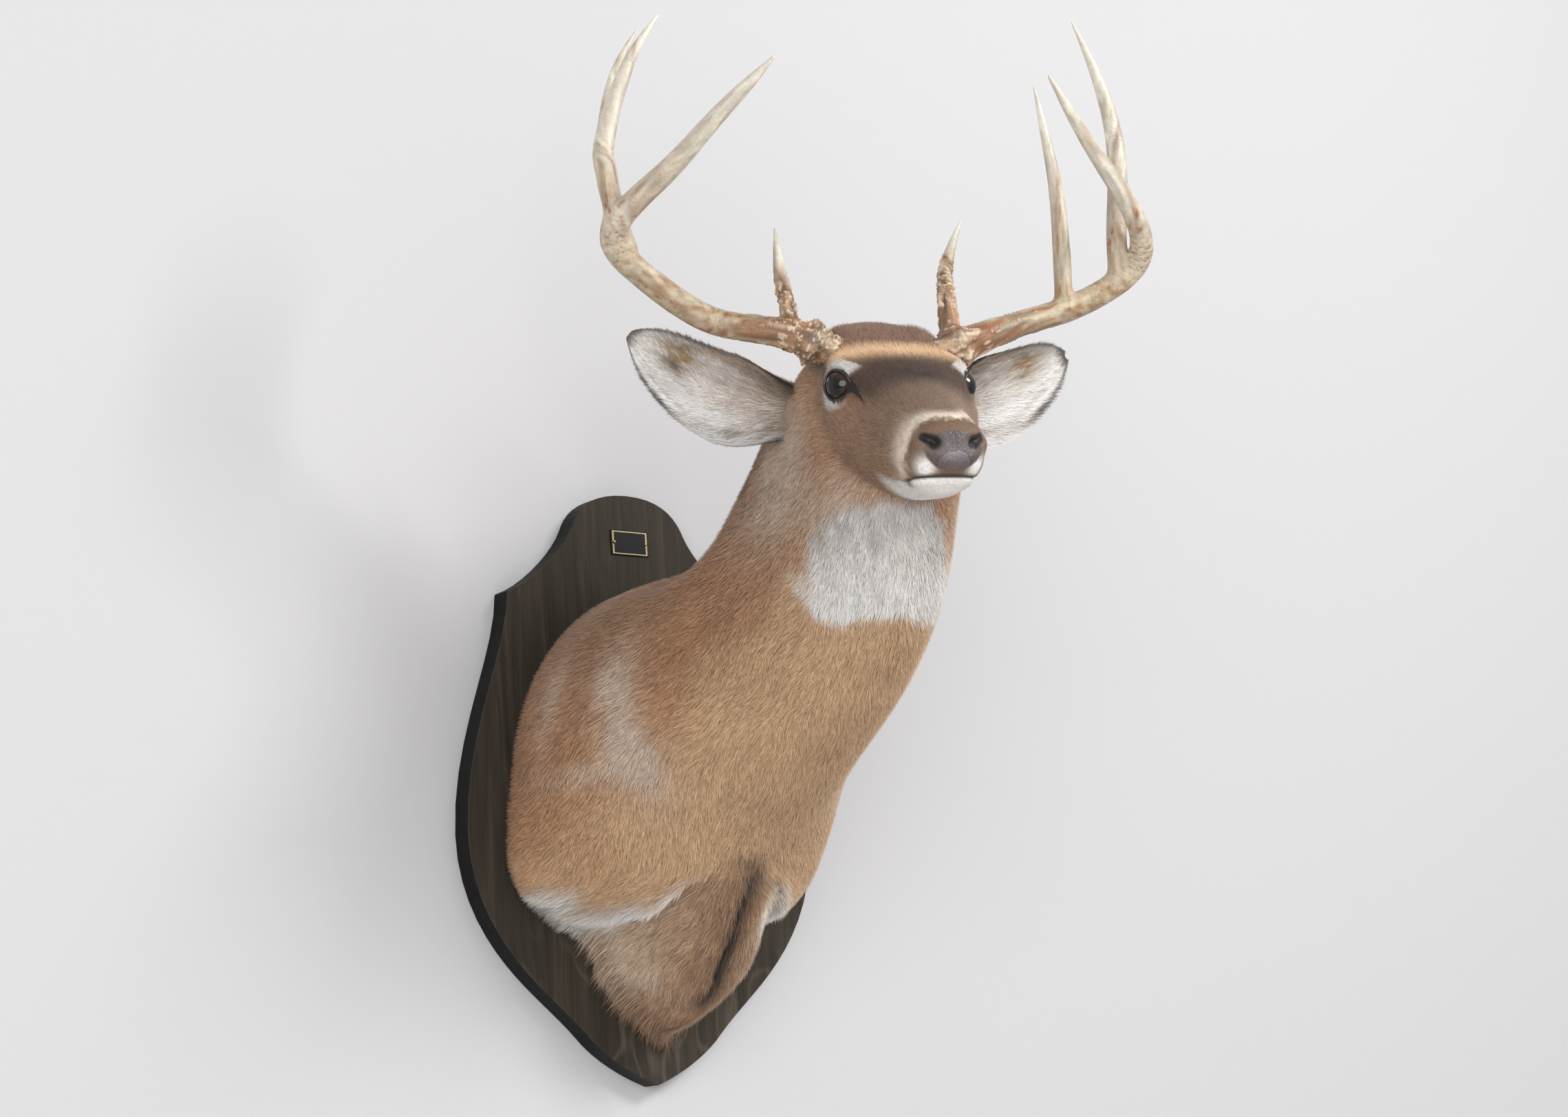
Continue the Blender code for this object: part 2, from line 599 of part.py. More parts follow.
def build_antler(label, side, beam, tines, forks):
    """Three lengths of beam parted at the forks, and three tines seated on the beam."""
    clear = GAP / 2.0 / BEAM_KNOT_SPACING
    lengths = {
        "beam_base": np.linspace(4.0 * clear, forks[0] - clear, 23),
        "beam_middle": np.linspace(forks[0] + clear, forks[1] - clear, 8),
        "beam_tip": np.linspace(forks[1] + clear, len(beam) - 1.0, 20),
    }
    for name, places in lengths.items():
        node = f"antler_{label}_{name}"
        add_object(node, loft(node, beam_rings(beam, side, places)), PARTS, "antler_bone")
    places = np.concatenate([[0.0], *lengths.values()])
    whole = add_cutter(f"beam_{label}_seat", loft("seat", beam_rings(beam, side, places, GAP)))
    seats = [whole]
    for name, knots in tines.items():
        node = f"antler_{label}_{name}"
        tine = add_object(node, loft(node, tine_rings(knots, side)), PARTS, "antler_bone")
        cut(tine, *seats)
        if name == "second_tine":
            seats.append(add_cutter(f"{node}_seat", loft("seat", tine_rings(knots, side, GAP))))
    return whole


# ---------------------------------------------------------------- build

clear_scene()
PARTS = new_collection("Deer shoulder mount")
CUTTERS = new_collection("Cutters", hidden=True)
MATERIALS = {name: make_material(name) for name in COLOURS}

build_board()
build_plate()
body_part("chest", 0.0, CHEST_END, 15, 44, gap_at_start=False)
_, neck_seat = body_part("neck", CHEST_END, NECK_END, 15, 40)
head, head_seat = body_part("head", NECK_END, HEAD_END, 26, 44)
body_part("muzzle", HEAD_END, LAST_SECTION, 16, 40, gap_at_end=False)
right_beam = build_antler("right", -1.0, RIGHT_BEAM, RIGHT_TINES, RIGHT_FORKS)
left_beam = build_antler("left", 1.0, LEFT_BEAM, LEFT_TINES, LEFT_FORKS)
cut(head, build_eye("right", -1.0), build_eye("left", 1.0), right_beam, left_beam)
build_ear("right", -1.0, (neck_seat, head_seat))
build_ear("left", 1.0, (neck_seat, head_seat))
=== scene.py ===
# %% [markdown]
# # A white-tailed buck's shoulder mount
# A mounted deer is a tanned hide glued over a foam form, with glass eyes, real antlers on a plate
# of skull, and a stained shield of wood behind.  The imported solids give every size.  This lesson
# puts the looks round them: one skin, the coat of hair on it, the face, the bone and the wood.

# %% Load the frame
import math

import bmesh
import bpy
import numpy as np
from mathutils import Matrix, Vector


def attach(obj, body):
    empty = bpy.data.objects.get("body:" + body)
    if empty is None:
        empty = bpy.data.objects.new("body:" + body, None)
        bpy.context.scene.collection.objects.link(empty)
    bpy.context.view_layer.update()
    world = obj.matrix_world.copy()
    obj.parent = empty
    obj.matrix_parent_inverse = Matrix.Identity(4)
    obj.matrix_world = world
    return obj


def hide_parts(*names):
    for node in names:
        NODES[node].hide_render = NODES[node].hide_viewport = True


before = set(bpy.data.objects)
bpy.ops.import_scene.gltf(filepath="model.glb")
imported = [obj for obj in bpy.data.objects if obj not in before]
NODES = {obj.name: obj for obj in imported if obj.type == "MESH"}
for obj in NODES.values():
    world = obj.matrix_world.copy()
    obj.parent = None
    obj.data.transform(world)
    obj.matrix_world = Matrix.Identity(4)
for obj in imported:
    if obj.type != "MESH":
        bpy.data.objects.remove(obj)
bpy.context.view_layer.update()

RANDOM = np.random.default_rng(11)

# %% [markdown]
# ## Curves and blends
# The whole animal is one loft: a few sections along its length, with a smooth curve through
# their sizes.  A natural cubic spline does that, because it bends as little as it can between
# the sections, as a hide stretched over a form does.  Everything soft-edged on it, from a brow to
# a white throat, is made of three blends: a step, a bell and a ball.

# %% Curves and blends


class Curve:
    """Natural cubic spline through rows of values, one row for each whole number."""

    def __init__(self, values):
        self.values = np.asarray(values, float)
        count = len(self.values)
        beside = np.ones(count - 1)
        system = np.diag(np.full(count, 4.0)) + np.diag(beside, 1) + np.diag(beside, -1)
        system[0, :2] = (1.0, 0.0)
        system[-1, -2:] = (0.0, 1.0)
        bends = np.zeros_like(self.values)
        bends[1:-1] = 6.0 * (self.values[2:] - 2.0 * self.values[1:-1] + self.values[:-2])
        self.bends = np.linalg.solve(system, bends)

    def __call__(self, at):
        last = len(self.values) - 1
        at = np.clip(np.asarray(at, float), 0.0, last)
        low = np.minimum(at.astype(int), last - 1)
        right = (at - low)[:, None]
        left = 1.0 - right
        straight = left * self.values[low] + right * self.values[low + 1]
        bent = (left**3 - left) * self.bends[low] + (right**3 - right) * self.bends[low + 1]
        return straight + bent / 6.0

    def direction(self, at):
        return unit(self(at + 0.01)[:, :3] - self(at - 0.01)[:, :3])


def vec(*numbers):
    return np.array(numbers, float)


def unit(vectors):
    """Each vector divided by its own length."""
    return vectors / (np.linalg.norm(vectors, axis=-1)[..., None] + 1e-12)


def dot(a, b):
    return (a * b).sum(axis=-1)


def flatten(vectors, normal):
    """The part of each vector that is square to the normal, made one long."""
    return unit(vectors - normal * dot(vectors, normal)[..., None])


def ease(low, high, value):
    """0 below low, 1 above high, and 3t^2 - 2t^3 between them."""
    t = np.clip((value - low) / (high - low), 0.0, 1.0)
    return t * t * (3.0 - 2.0 * t)


def bell(value, width):
    """e to the minus square of value over width: 1 at zero, and all but 0 past twice the width."""
    return np.exp(-((value / width) ** 2))


def blob(points, centre, reach):
    """A soft ball: e to the minus squared distance from the centre, with each axis over its reach."""
    return np.exp(-(((points - np.array(centre)) / np.array(reach)) ** 2).sum(axis=-1))


def signed_power(value, power):
    """The power of the value's size, with the value's sign."""
    return np.sign(value) * np.abs(value) ** power


def mirrored(points, axis):
    """The points with one coordinate's sign dropped, so that both sides share one set of places."""
    folded = np.array(points)
    folded[:, axis] = np.abs(folded[:, axis])
    return folded


AXIS_PRIMES, SEED_PRIME, MIX_PRIME = (73856093, 19349663, 83492791), 2654435761, 1274126177


def value_noise(points, size, seed=0):
    """Smooth noise from 0 to 1: random numbers on a lattice of the given size, blended between."""
    scaled = points / size + 1000.0
    cell = np.floor(scaled).astype(np.int64)
    t = scaled - cell
    t = t * t * (3.0 - 2.0 * t)
    total = np.zeros(len(points))
    for corner in range(8):
        step = np.array((corner & 1, corner >> 1 & 1, corner >> 2 & 1))
        x, y, z = ((cell + step) * AXIS_PRIMES).T
        mixed = x ^ y ^ z ^ (seed * SEED_PRIME)
        mixed = (mixed ^ (mixed >> 13)) * MIX_PRIME & 0xFFFFFFFF
        total += np.where(step, t, 1.0 - t).prod(axis=1) * ((mixed >> 8) / 0xFFFFFF)
    return total


def ripple(points, size, seed):
    """The same noise, from -0.5 to 0.5."""
    return value_noise(points, size, seed) - 0.5


print("noise at the origin:", value_noise(np.zeros((1, 3)), 0.01).round(3))

# %% [markdown]
# ## Meshes from arrays
# Every new piece is worked out as arrays of points and of faces, so one helper turns those into
# a mesh.  It also lays a UV map and a colour for each point on it where a finish needs them.

# %% Meshes from arrays


def show(name, data):
    """An object of this mesh, lamp or camera, in the scene."""
    shown = bpy.data.objects.new(name, data)
    bpy.context.scene.collection.objects.link(shown)
    return shown


def merge_and_face_out(mesh):
    """Joins the points of poles and seams, and turns the faces outwards."""
    form = bmesh.new()
    form.from_mesh(mesh)
    bmesh.ops.remove_doubles(form, verts=form.verts, dist=1e-6)
    bmesh.ops.recalc_face_normals(form, faces=form.faces)
    form.to_mesh(mesh)
    form.free()


def make_piece(name, points, faces, material, uv=None, colours=None, normals=None, merge=False):
    """A mesh object at the origin: all faces have the same number of corners."""
    mesh = bpy.data.meshes.new(name)
    mesh.vertices.add(len(points))
    mesh.vertices.foreach_set("co", np.asarray(points, np.float32).ravel())
    mesh.loops.add(faces.size)
    mesh.loops.foreach_set("vertex_index", faces.astype(np.int32).ravel())
    mesh.polygons.add(len(faces))
    starts = np.arange(0, faces.size, faces.shape[1], dtype=np.int32)
    mesh.polygons.foreach_set("loop_start", starts)
    mesh.update(calc_edges=True)
    mesh.shade_smooth()
    if uv is not None:
        layer = mesh.uv_layers.new(name="OFBake")
        layer.data.foreach_set("uv", np.asarray(uv, np.float32).ravel())
    if colours is not None:
        rows = np.ones((len(points), 4), np.float32)
        rows[:, :3] = colours
        layer = mesh.color_attributes.new("hair_colour", "FLOAT_COLOR", "POINT")
        layer.data.foreach_set("color", rows.ravel())
    if normals is not None:
        mesh.normals_split_custom_set_from_vertices(normals)
    mesh.materials.append(material)
    piece = show(name, mesh)
    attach(piece, "root")
    if merge:
        merge_and_face_out(mesh)
    return piece


def crossed(rows, columns):
    """Each row's value with each column's, as two flat arrays."""
    return np.repeat(rows, len(columns)), np.tile(columns, len(rows))


def grid_faces(rows, columns):
    """Quads of a grid whose last column joins its first, and each corner's place in it from 0 to 1."""
    i, j = np.meshgrid(np.arange(rows - 1), np.arange(columns), indexing="ij")
    corners_i = np.stack([i, i, i + 1, i + 1], axis=-1).reshape(-1, 4)
    corners_j = np.stack([j, j + 1, j + 1, j], axis=-1).reshape(-1, 4)
    faces = corners_i * columns + corners_j % columns
    places = np.stack([corners_j / columns, corners_i / (rows - 1)], axis=-1)
    return faces, places


def pole(middle, around):
    """A ring drawn together into one point, which closes an end."""
    return np.repeat(middle[None, None], around, axis=1)


def tube(points, radii, around, ahead, reference, capped=True):
    """Rings of the given radii square to a path, each ring starting from one reference direction."""
    side = flatten(np.array(reference), ahead)
    up = np.cross(ahead, side)
    turn = np.linspace(0.0, 2.0 * math.pi, around, endpoint=False)[None, :, None]
    spokes = np.cos(turn) * side[:, None] + np.sin(turn) * up[:, None]
    rings = points[:, None] + radii[:, None, None] * spokes
    if capped:
        rings = np.concatenate([pole(points[0], around), rings, pole(points[-1], around)])
    return rings


# %% [markdown]
# ## Finishes
# A material is a small sum: grain plus stain, or hair colour times speckle.  Written as
# Python arithmetic it reads like that sum, so one class wraps a socket and turns + and * into
# Math nodes, and another holds the material and adds its other nodes.

# %% Finishes as arithmetic


class Wire:
    """A socket that can be added to, multiplied and compared; each sign makes one Math node."""

    def __init__(self, finish, socket):
        self.finish = finish
        self.socket = socket

    def __rsub__(self, other):
        return self.finish.math("SUBTRACT", other, self)


def sign(operation):
    return lambda self, other: self.finish.math(operation, self, other)


Wire.__add__ = Wire.__radd__ = sign("ADD")
Wire.__mul__ = Wire.__rmul__ = sign("MULTIPLY")
Wire.__sub__ = sign("SUBTRACT")
Wire.__gt__ = sign("GREATER_THAN")


class Finish:
    """A Principled material whose nodes are added by short expressions."""

    def __init__(self, name, roughness=0.5, metallic=0.0, **fixed):
        self.material = bpy.data.materials.new(name)
        self.material.use_nodes = True
        self.tree = self.material.node_tree
        self.shader = self.tree.nodes["Principled BSDF"]
        for socket, value in dict(Roughness=roughness, Metallic=metallic, **fixed).items():
            self.shader.inputs[socket.replace("_", " ")].default_value = value

    def add(self, kind, settings=None, inputs=None, output=0):
        node = self.tree.nodes.new(kind)
        for name, value in (settings or {}).items():
            setattr(node, name, value)
        for name, value in (inputs or {}).items():
            if isinstance(value, Wire):
                self.tree.links.new(value.socket, node.inputs[name])
            else:
                node.inputs[name].default_value = value
        return Wire(self, node.outputs[output])

    def math(self, operation, first, second=0.0, clamp=False):
        settings = {"operation": operation, "use_clamp": clamp}
        return self.add("ShaderNodeMath", settings, {0: first, 1: second})

    def clamp(self, value):
        return self.math("ADD", value, 0.0, clamp=True)

    def size(self, value):
        """The value without its sign."""
        return self.math("ABSOLUTE", value)

    def vector(self, operation, first, second, output="Vector"):
        return self.add("ShaderNodeVectorMath", {"operation": operation}, {0: first, 1: second}, output)

    def tint(self, colour, factor):
        """The colour times a number."""
        return self.add("ShaderNodeVectorMath", {"operation": "SCALE"}, {0: colour, "Scale": factor})

    def here(self):
        return self.add("ShaderNodeTexCoord", output="Object")

    def axis(self, name):
        return self.add("ShaderNodeSeparateXYZ", None, {0: self.here()}, name)

    def place(self, *scale):
        """Object coordinates, each times its own scale."""
        return self.add("ShaderNodeMapping", None, {"Vector": self.here(), "Scale": scale or (1.0, 1.0, 1.0)})

    def noise(self, vector, scale, detail=3.0, roughness=0.5):
        inputs = {"Vector": vector, "Scale": scale, "Detail": detail, "Roughness": roughness}
        return self.add("ShaderNodeTexNoise", None, inputs)

    def mix(self, factor, first, second):
        def colour(value):
            return value if isinstance(value, Wire) else (*value, 1.0)

        inputs = {0: factor, 6: colour(first), 7: colour(second)}
        return self.add("ShaderNodeMix", {"data_type": "RGBA"}, inputs, 2)

    def hair_colour(self):
        """The colour kept at each point of the mesh."""
        return self.add("ShaderNodeAttribute", {"attribute_name": "hair_colour"})

    def ramp(self, value, *stops):
        """Colours by value, blended between (place, colour) stops."""
        wire = self.add("ShaderNodeValToRGB", None, {"Fac": value})
        elements = wire.socket.node.color_ramp.elements
        for index, (place, colour) in enumerate(stops):
            stop = elements[index] if index < 2 else elements.new(place)
            stop.position = place
            stop.color = (*colour, 1.0)
        return wire

    def bump(self, height, distance, strength=1.0):
        inputs = {"Height": height, "Distance": distance, "Strength": strength}
        return self.add("ShaderNodeBump", None, inputs)

    def set(self, **sockets):
        for name, value in sockets.items():
            self.tree.links.new(value.socket, self.shader.inputs[name.replace("_", " ")])
        return self.material


def repaint(names, material):
    for name in names:
        for slot in NODES[name].material_slots:
            slot.material = material


print("finishes are ready to write")

# %% [markdown]
# ## The head's own axes
# The head is turned and nods, so its features are easiest to place in its own frame: f forward
# along the face, l towards the deer's left, u up out of the forehead, from between the eyes.

# %% The head's own axes
EYE_MIDDLE = vec(0.0, -0.4617, 0.3121)
HEAD_TURN = math.radians(22.3)
HEAD_NOD = math.radians(31.3)
SIDES = {"right": -1.0, "left": 1.0}


def head_axes():
    across = vec(math.cos(HEAD_TURN), -math.sin(HEAD_TURN), 0.0)
    level = vec(-math.sin(HEAD_TURN), -math.cos(HEAD_TURN), 0.0)
    forward = level * math.cos(HEAD_NOD) - vec(0.0, 0.0, math.sin(HEAD_NOD))
    return np.array((forward, across, np.cross(forward, across)))


HEAD_AXES = head_axes()


def way_from_head(ways, side=1.0):
    """Directions in the head's frame as directions in space, on the side asked for."""
    return (np.asarray(ways, float) * (1.0, side, 1.0)) @ HEAD_AXES


def from_head(points, side=1.0):
    return EYE_MIDDLE + way_from_head(points, side)


def to_head(points):
    return (points - EYE_MIDDLE) @ HEAD_AXES.T


def face_places(points):
    """Head coordinates (f, |l|, u), which are the same on both sides of the face."""
    return mirrored(to_head(points), 1)


print("nose direction:", HEAD_AXES[0].round(3))

# %% [markdown]
# ## The outer form
# The same loft as the solids: each section is a rounded oval between a point on the top line and
# one on the under line.  The head's turn fades out down the neck, and small swellings give the
# brow, the cheeks and the shoulders.

# %% The outer form
# Each row: top point, low point, half-width, widening, and the oval's power above and below.
# The trunk's points are (y, z) in space; the head's are (f, u) in its own frame.
TRUNK_SECTIONS = (
    ((-0.0243, 0.193), (-0.0243, -0.252), 0.163, 0.02, 1.85, 1.22),
    ((-0.052, 0.195), (-0.082, -0.246), 0.171, 0.02, 1.90, 1.30),
    ((-0.084, 0.196), (-0.128, -0.215), 0.172, 0.00, 1.95, 1.45),
    ((-0.115, 0.199), (-0.166, -0.155), 0.160, -0.03, 2.00, 1.65),
    ((-0.143, 0.204), (-0.202, -0.100), 0.144, -0.06, 2.00, 1.85),
    ((-0.168, 0.213), (-0.246, -0.062), 0.127, -0.08, 2.00, 1.95),
    ((-0.191, 0.228), (-0.300, -0.024), 0.114, -0.08, 2.00, 2.00),
    ((-0.210, 0.248), (-0.353, 0.014), 0.104, -0.06, 2.00, 2.00),
    ((-0.219, 0.277), (-0.402, 0.057), 0.095, -0.04, 2.00, 2.00),
    ((-0.225, 0.311), (-0.437, 0.103), 0.089, -0.02, 2.00, 2.05),
    ((-0.238, 0.347), (-0.458, 0.148), 0.085, 0.00, 2.00, 2.10),
    ((-0.272, 0.376), (-0.470, 0.178), 0.081, 0.00, 2.00, 2.10),
    ((-0.327, 0.390), (-0.478, 0.192), 0.075, 0.00, 2.05, 2.10),
)
HEAD_SECTIONS = (
    ((-0.112, 0.030), (0.076, -0.0850), 0.070, 0.05, 2.2, 2.1),
    ((-0.080, 0.037), (0.081, -0.0838), 0.069, 0.10, 2.6, 2.1),
    ((-0.050, 0.037), (0.087, -0.0820), 0.068, 0.16, 2.8, 2.1),
    ((-0.018, 0.034), (0.094, -0.0795), 0.067, 0.20, 2.8, 2.1),
    ((0.012, 0.031), (0.101, -0.0770), 0.062, 0.20, 2.6, 2.1),
    ((0.042, 0.028), (0.108, -0.0745), 0.055, 0.16, 2.4, 2.1),
    ((0.070, 0.026), (0.115, -0.0715), 0.048, 0.10, 2.1, 2.1),
    ((0.096, 0.0245), (0.122, -0.0690), 0.042, 0.04, 2.1, 2.2),
    ((0.118, 0.0230), (0.130, -0.0660), 0.038, 0.00, 2.1, 2.3),
    ((0.136, 0.022), (0.139, -0.0620), 0.036, 0.00, 2.2, 2.3),
    ((0.151, 0.019), (0.148, -0.0565), 0.0345, 0.02, 2.3, 2.3),
    ((0.163, 0.0135), (0.156, -0.0495), 0.031, 0.06, 2.3, 2.2),
    ((0.171, 0.005), (0.163, -0.0400), 0.025, 0.08, 2.2, 2.1),
    ((0.1755, -0.006), (0.168, -0.0300), 0.015, 0.00, 2.0, 2.0),
)
TURN_STARTS, TURN_ENDS = 5.0, 12.0
TRUNK_HAIR_ENDS = 12.2
LAST_SECTION = len(TRUNK_SECTIONS) + len(HEAD_SECTIONS) - 1
HEAD_FORMS = (
    ((0.000, 0.062, 0.022), (0.022, 0.018, 0.010), 0.0050),
    ((0.012, 0.062, -0.020), (0.024, 0.018, 0.009), 0.0030),
    ((0.045, 0.050, -0.006), (0.016, 0.020, 0.008), -0.0040),
    ((-0.045, 0.066, 0.012), (0.020, 0.020, 0.016), -0.0040),
    ((0.020, 0.060, -0.055), (0.035, 0.030, 0.022), 0.0060),
    ((-0.035, 0.065, -0.080), (0.025, 0.030, 0.022), 0.0060),
    ((0.158, 0.026, 0.000), (0.012, 0.014, 0.012), 0.0030),
    ((0.140, 0.034, -0.026), (0.018, 0.016, 0.012), 0.0030),
    ((0.118, 0.036, -0.046), (0.014, 0.014, 0.008), -0.0030),
    ((-0.088, 0.070, -0.030), (0.026, 0.040, 0.030), 0.0080),
)
TRUNK_FORMS = (
    ((0.110, -0.130, -0.020), (0.060, 0.060, 0.080), 0.0060),
    ((0.130, -0.070, 0.070), (0.060, 0.060, 0.080), 0.0040),
    ((0.095, -0.110, -0.165), (0.050, 0.050, 0.030), -0.0160),
    ((0.150, -0.040, -0.092), (0.060, 0.055, 0.046), 0.0360),
    ((0.055, -0.180, 0.210), (0.036, 0.045, 0.040), -0.0240),
)


def profile_of(point):
    """A head point (f, u) on the mid-line, in the straight profile's (y, z), before the turn."""
    forward, up = point
    level = forward * math.cos(HEAD_NOD) + up * math.sin(HEAD_NOD)
    return (EYE_MIDDLE[1] - level, EYE_MIDDLE[2] + up * math.cos(HEAD_NOD) - forward * math.sin(HEAD_NOD))


def section_rows():
    rows = [(*top, *low, *shape) for top, low, *shape in TRUNK_SECTIONS]
    rows += [(*profile_of(top), *profile_of(low), *shape) for top, low, *shape in HEAD_SECTIONS]
    return rows


BODY_CURVE = Curve(section_rows())


def turned(points, turn, pivot):
    """A rotation about an upright line through the pivot, by an angle of each point's own."""
    x, y = points[:, 0] - pivot[0], points[:, 1] - pivot[1]
    cosine, sine = np.cos(turn), np.sin(turn)
    x, y = pivot[0] + cosine * x + sine * y, pivot[1] - sine * x + cosine * y
    return np.stack([x, y, points[:, 2]], axis=1)


def swell(points, outward, forms, local):
    """Adds each soft ball's height along `outward`; `local` holds the points with both sides alike."""
    height = sum(amount * blob(local, centre, reach) for centre, reach, amount in forms)
    return points + outward * height[:, None]


def outer_form(section, angle):
    """The coat's outer surface: an oval of each section, then the turn and the swellings.

    x is the half-width times a power of the cosine; the height above the section's middle is its
    half-height times the same power of the sine.
    """
    row = BODY_CURVE(section)
    middle, half = (row[:, 0:2] + row[:, 2:4]) / 2.0, (row[:, 0:2] - row[:, 2:4]) / 2.0
    reach = np.linalg.norm(half, axis=1)
    up = half / reach[:, None]
    cosine, sine = np.cos(angle), np.sin(angle)
    power = 2.0 / np.where(sine > 0.0, row[:, 6], row[:, 7])
    along = signed_power(sine, power)
    x = row[:, 4] * signed_power(cosine, power) * (1.0 + row[:, 5] * along)
    lift = reach * along
    points = np.stack([x, middle[:, 0] + up[:, 0] * lift, middle[:, 1] + up[:, 1] * lift], axis=1)
    centre = np.stack([0.0 * x, middle[:, 0], middle[:, 1]], axis=1)
    outward = unit(points - centre)
    points = swell(points, outward, TRUNK_FORMS, mirrored(points, 0))
    turn = HEAD_TURN * ease(TURN_STARTS, TURN_ENDS, section)
    points = turned(points, turn, (0.0, EYE_MIDDLE[1]))
    outward = turned(outward, turn, (0.0, 0.0))
    return swell(points, outward, HEAD_FORMS, face_places(points)), outward


def form_step(section, angle, along, around):
    """How the form moves from a little before each place to as much after it."""
    return outer_form(section + along, angle + around)[0] - outer_form(section - along, angle - around)[0]


def form_frame(section, angle):
    """Outer points with their outward normals and the direction towards the nose."""
    here, outward = outer_form(section, angle)
    nose_ward = form_step(section, angle, 0.02, 0.0)
    normal = unit(np.cross(form_step(section, angle, 0.0, 0.012), nose_ward))
    normal *= np.sign(dot(normal, outward))[:, None]
    return here, normal, unit(nose_ward)


here, normal, _ = form_frame(vec(16.0), vec(0.6))
print("beside the eye:", here.round(3), normal.round(2))

# %% [markdown]
# ## The face in the skin
# Under the hair the head has eye openings with lids, a tear groove, two comma-shaped nostrils
# and the line of the mouth.  All are pushed into the loft's surface along its normals, so the
# skin stays one sheet.  The lids follow the glass ball: the skin is lifted to just over it round
# an almond opening, and inside the opening it drops out of sight behind the ball.

# %% The face in the skin
EYE_RADIUS = 0.0170
LID_LIFT, LASH_LIFT, LASH_WIDTH = 0.0011, 0.0016, 0.0005
EYE_CENTRE = vec(0.007, 0.0555, 0.003)
LID_THICKNESS = 0.0016
EYE_OUT = unit(vec(0.58, 0.79, 0.16))  # the way the eye looks
EYE_FRONT = flatten(vec(0.90, -0.22, -0.34), EYE_OUT)
EYE_UP = np.cross(EYE_FRONT, EYE_OUT)
EYE_UP = EYE_UP * np.sign(EYE_UP[2])
OPENING_FRONT, OPENING_BACK = 0.98, 0.90  # sines of the opening's half angles
OPENING_ABOVE, OPENING_BELOW = 0.80, 0.78
MOUTH_F = (0.112, 0.124, 0.138, 0.150, 0.160, 0.169, 0.176)
MOUTH_U = (-0.0540, -0.0505, -0.0455, -0.0395, -0.0350, -0.0310, -0.0285)


def almond(front, up):
    """1 on the eye opening's edge, less inside: a rounded diamond with pointed corners."""
    wide = np.where(front > 0.0, OPENING_FRONT, OPENING_BACK)
    high = np.where(up > 0.0, OPENING_ABOVE, OPENING_BELOW)
    return (np.abs(front / wide) ** 1.75 + np.abs(up / high) ** 2.0) ** 0.54


def eye_place(local):
    """How far each point is from the opening's middle, in almonds and in metres."""
    ray = local - EYE_CENTRE
    reach = np.linalg.norm(ray, axis=1)
    ray = ray / (EYE_RADIUS + LID_THICKNESS)
    edge = almond(ray @ EYE_FRONT, ray @ EYE_UP)
    return np.where(ray @ EYE_OUT > -0.1, edge, 9.0), reach


def front_corner(local):
    """1 on the bare black skin that runs from the eye's front corner into the tear groove."""
    f, l, u = local.T
    line = np.interp(f, (0.012, 0.040, 0.060), (0.005, 0.0085, 0.0015))
    thick = np.interp(f, (0.012, 0.022, 0.040, 0.060), (0.0100, 0.0088, 0.0028, 0.0009))
    strip = ease(thick + 0.0008, thick - 0.0006, np.abs(u - line))
    return strip * (f > 0.012) * ease(0.064, 0.057, f) * (l > 0.02)


def mouth_gap(local):
    """Height above the line of the mouth, and how fully the mouth is there."""
    line = np.interp(local[:, 0], MOUTH_F, MOUTH_U)
    return local[:, 2] - line, ease(0.116, 0.136, local[:, 0])


def pad_mask(local):
    """1 on the bare leather of the nose: an oval seen from the front, cut off behind the nostrils."""
    narrow = 0.0290 - 0.30 * np.maximum(-0.006 - local[:, 2], 0.0)
    side, height = local[:, 1] / narrow, (local[:, 2] + 0.0080) / 0.0195
    oval = 1.0 - ease(0.88, 1.04, np.sqrt(side**2 + height**2))
    return oval * ease(0.145, 0.151, local[:, 0] - 0.10 * local[:, 2])


def nostril_mask(local):
    """A comma: a round opening at the front and a slit that curls out and up behind it."""
    opening = blob(local, (0.1660, 0.0180, -0.0010), (0.0090, 0.0078, 0.0078))
    slit = blob(local, (0.1590, 0.0260, 0.0020), (0.0075, 0.0072, 0.0052))
    return np.clip(opening + 0.85 * slit, 0.0, 1.0)


def shape_face(points, normal):
    """Skin points with the face's folds pushed in or raised along the normals, and lids laid on the ball."""
    local = face_places(points)
    push = -0.0100 * nostril_mask(local) ** 1.5
    push += 0.0018 * blob(local, (0.156, 0.0310, -0.006), (0.007, 0.007, 0.010))
    above, present = mouth_gap(local)
    push -= 0.0024 * present * bell(above, 0.0013)
    push += 0.0012 * present * bell(above + 0.005, 0.004)
    push -= 0.0010 * bell(local[:, 1], 0.0016) * blob(local, (0.17, 0.0, -0.022), (0.02, 0.1, 0.007))
    push -= 0.0020 * front_corner(local)
    moved = points + normal * push[:, None]
    edge, reach = eye_place(local)
    signed = to_head(moved)
    centre = np.repeat(EYE_CENTRE[None], len(points), axis=0)
    centre[:, 1] *= np.where(signed[:, 1] < 0.0, -1.0, 1.0)
    ray = unit(signed - centre)
    on_ball = EYE_RADIUS + LID_THICKNESS
    lid = np.maximum(reach, on_ball)
    lid = lid + (on_ball - lid) * (1.0 - ease(1.0, 1.45, edge))
    target = np.where(edge < 1.0, EYE_RADIUS - 0.0030, lid)
    new_reach = reach + (target - reach) * (1.0 - ease(1.35, 1.75, edge))
    seated = from_head(centre + ray * new_reach[:, None])
    return np.where((edge < 1.75)[:, None], seated, moved)


print("mouth corner at f, u:", MOUTH_F[0], MOUTH_U[0])

# %% [markdown]
# ## How deep the coat is
# The skin lies inside the outer form by the depth of the hair, which is deepest on the neck and
# falls to nothing on the nose.

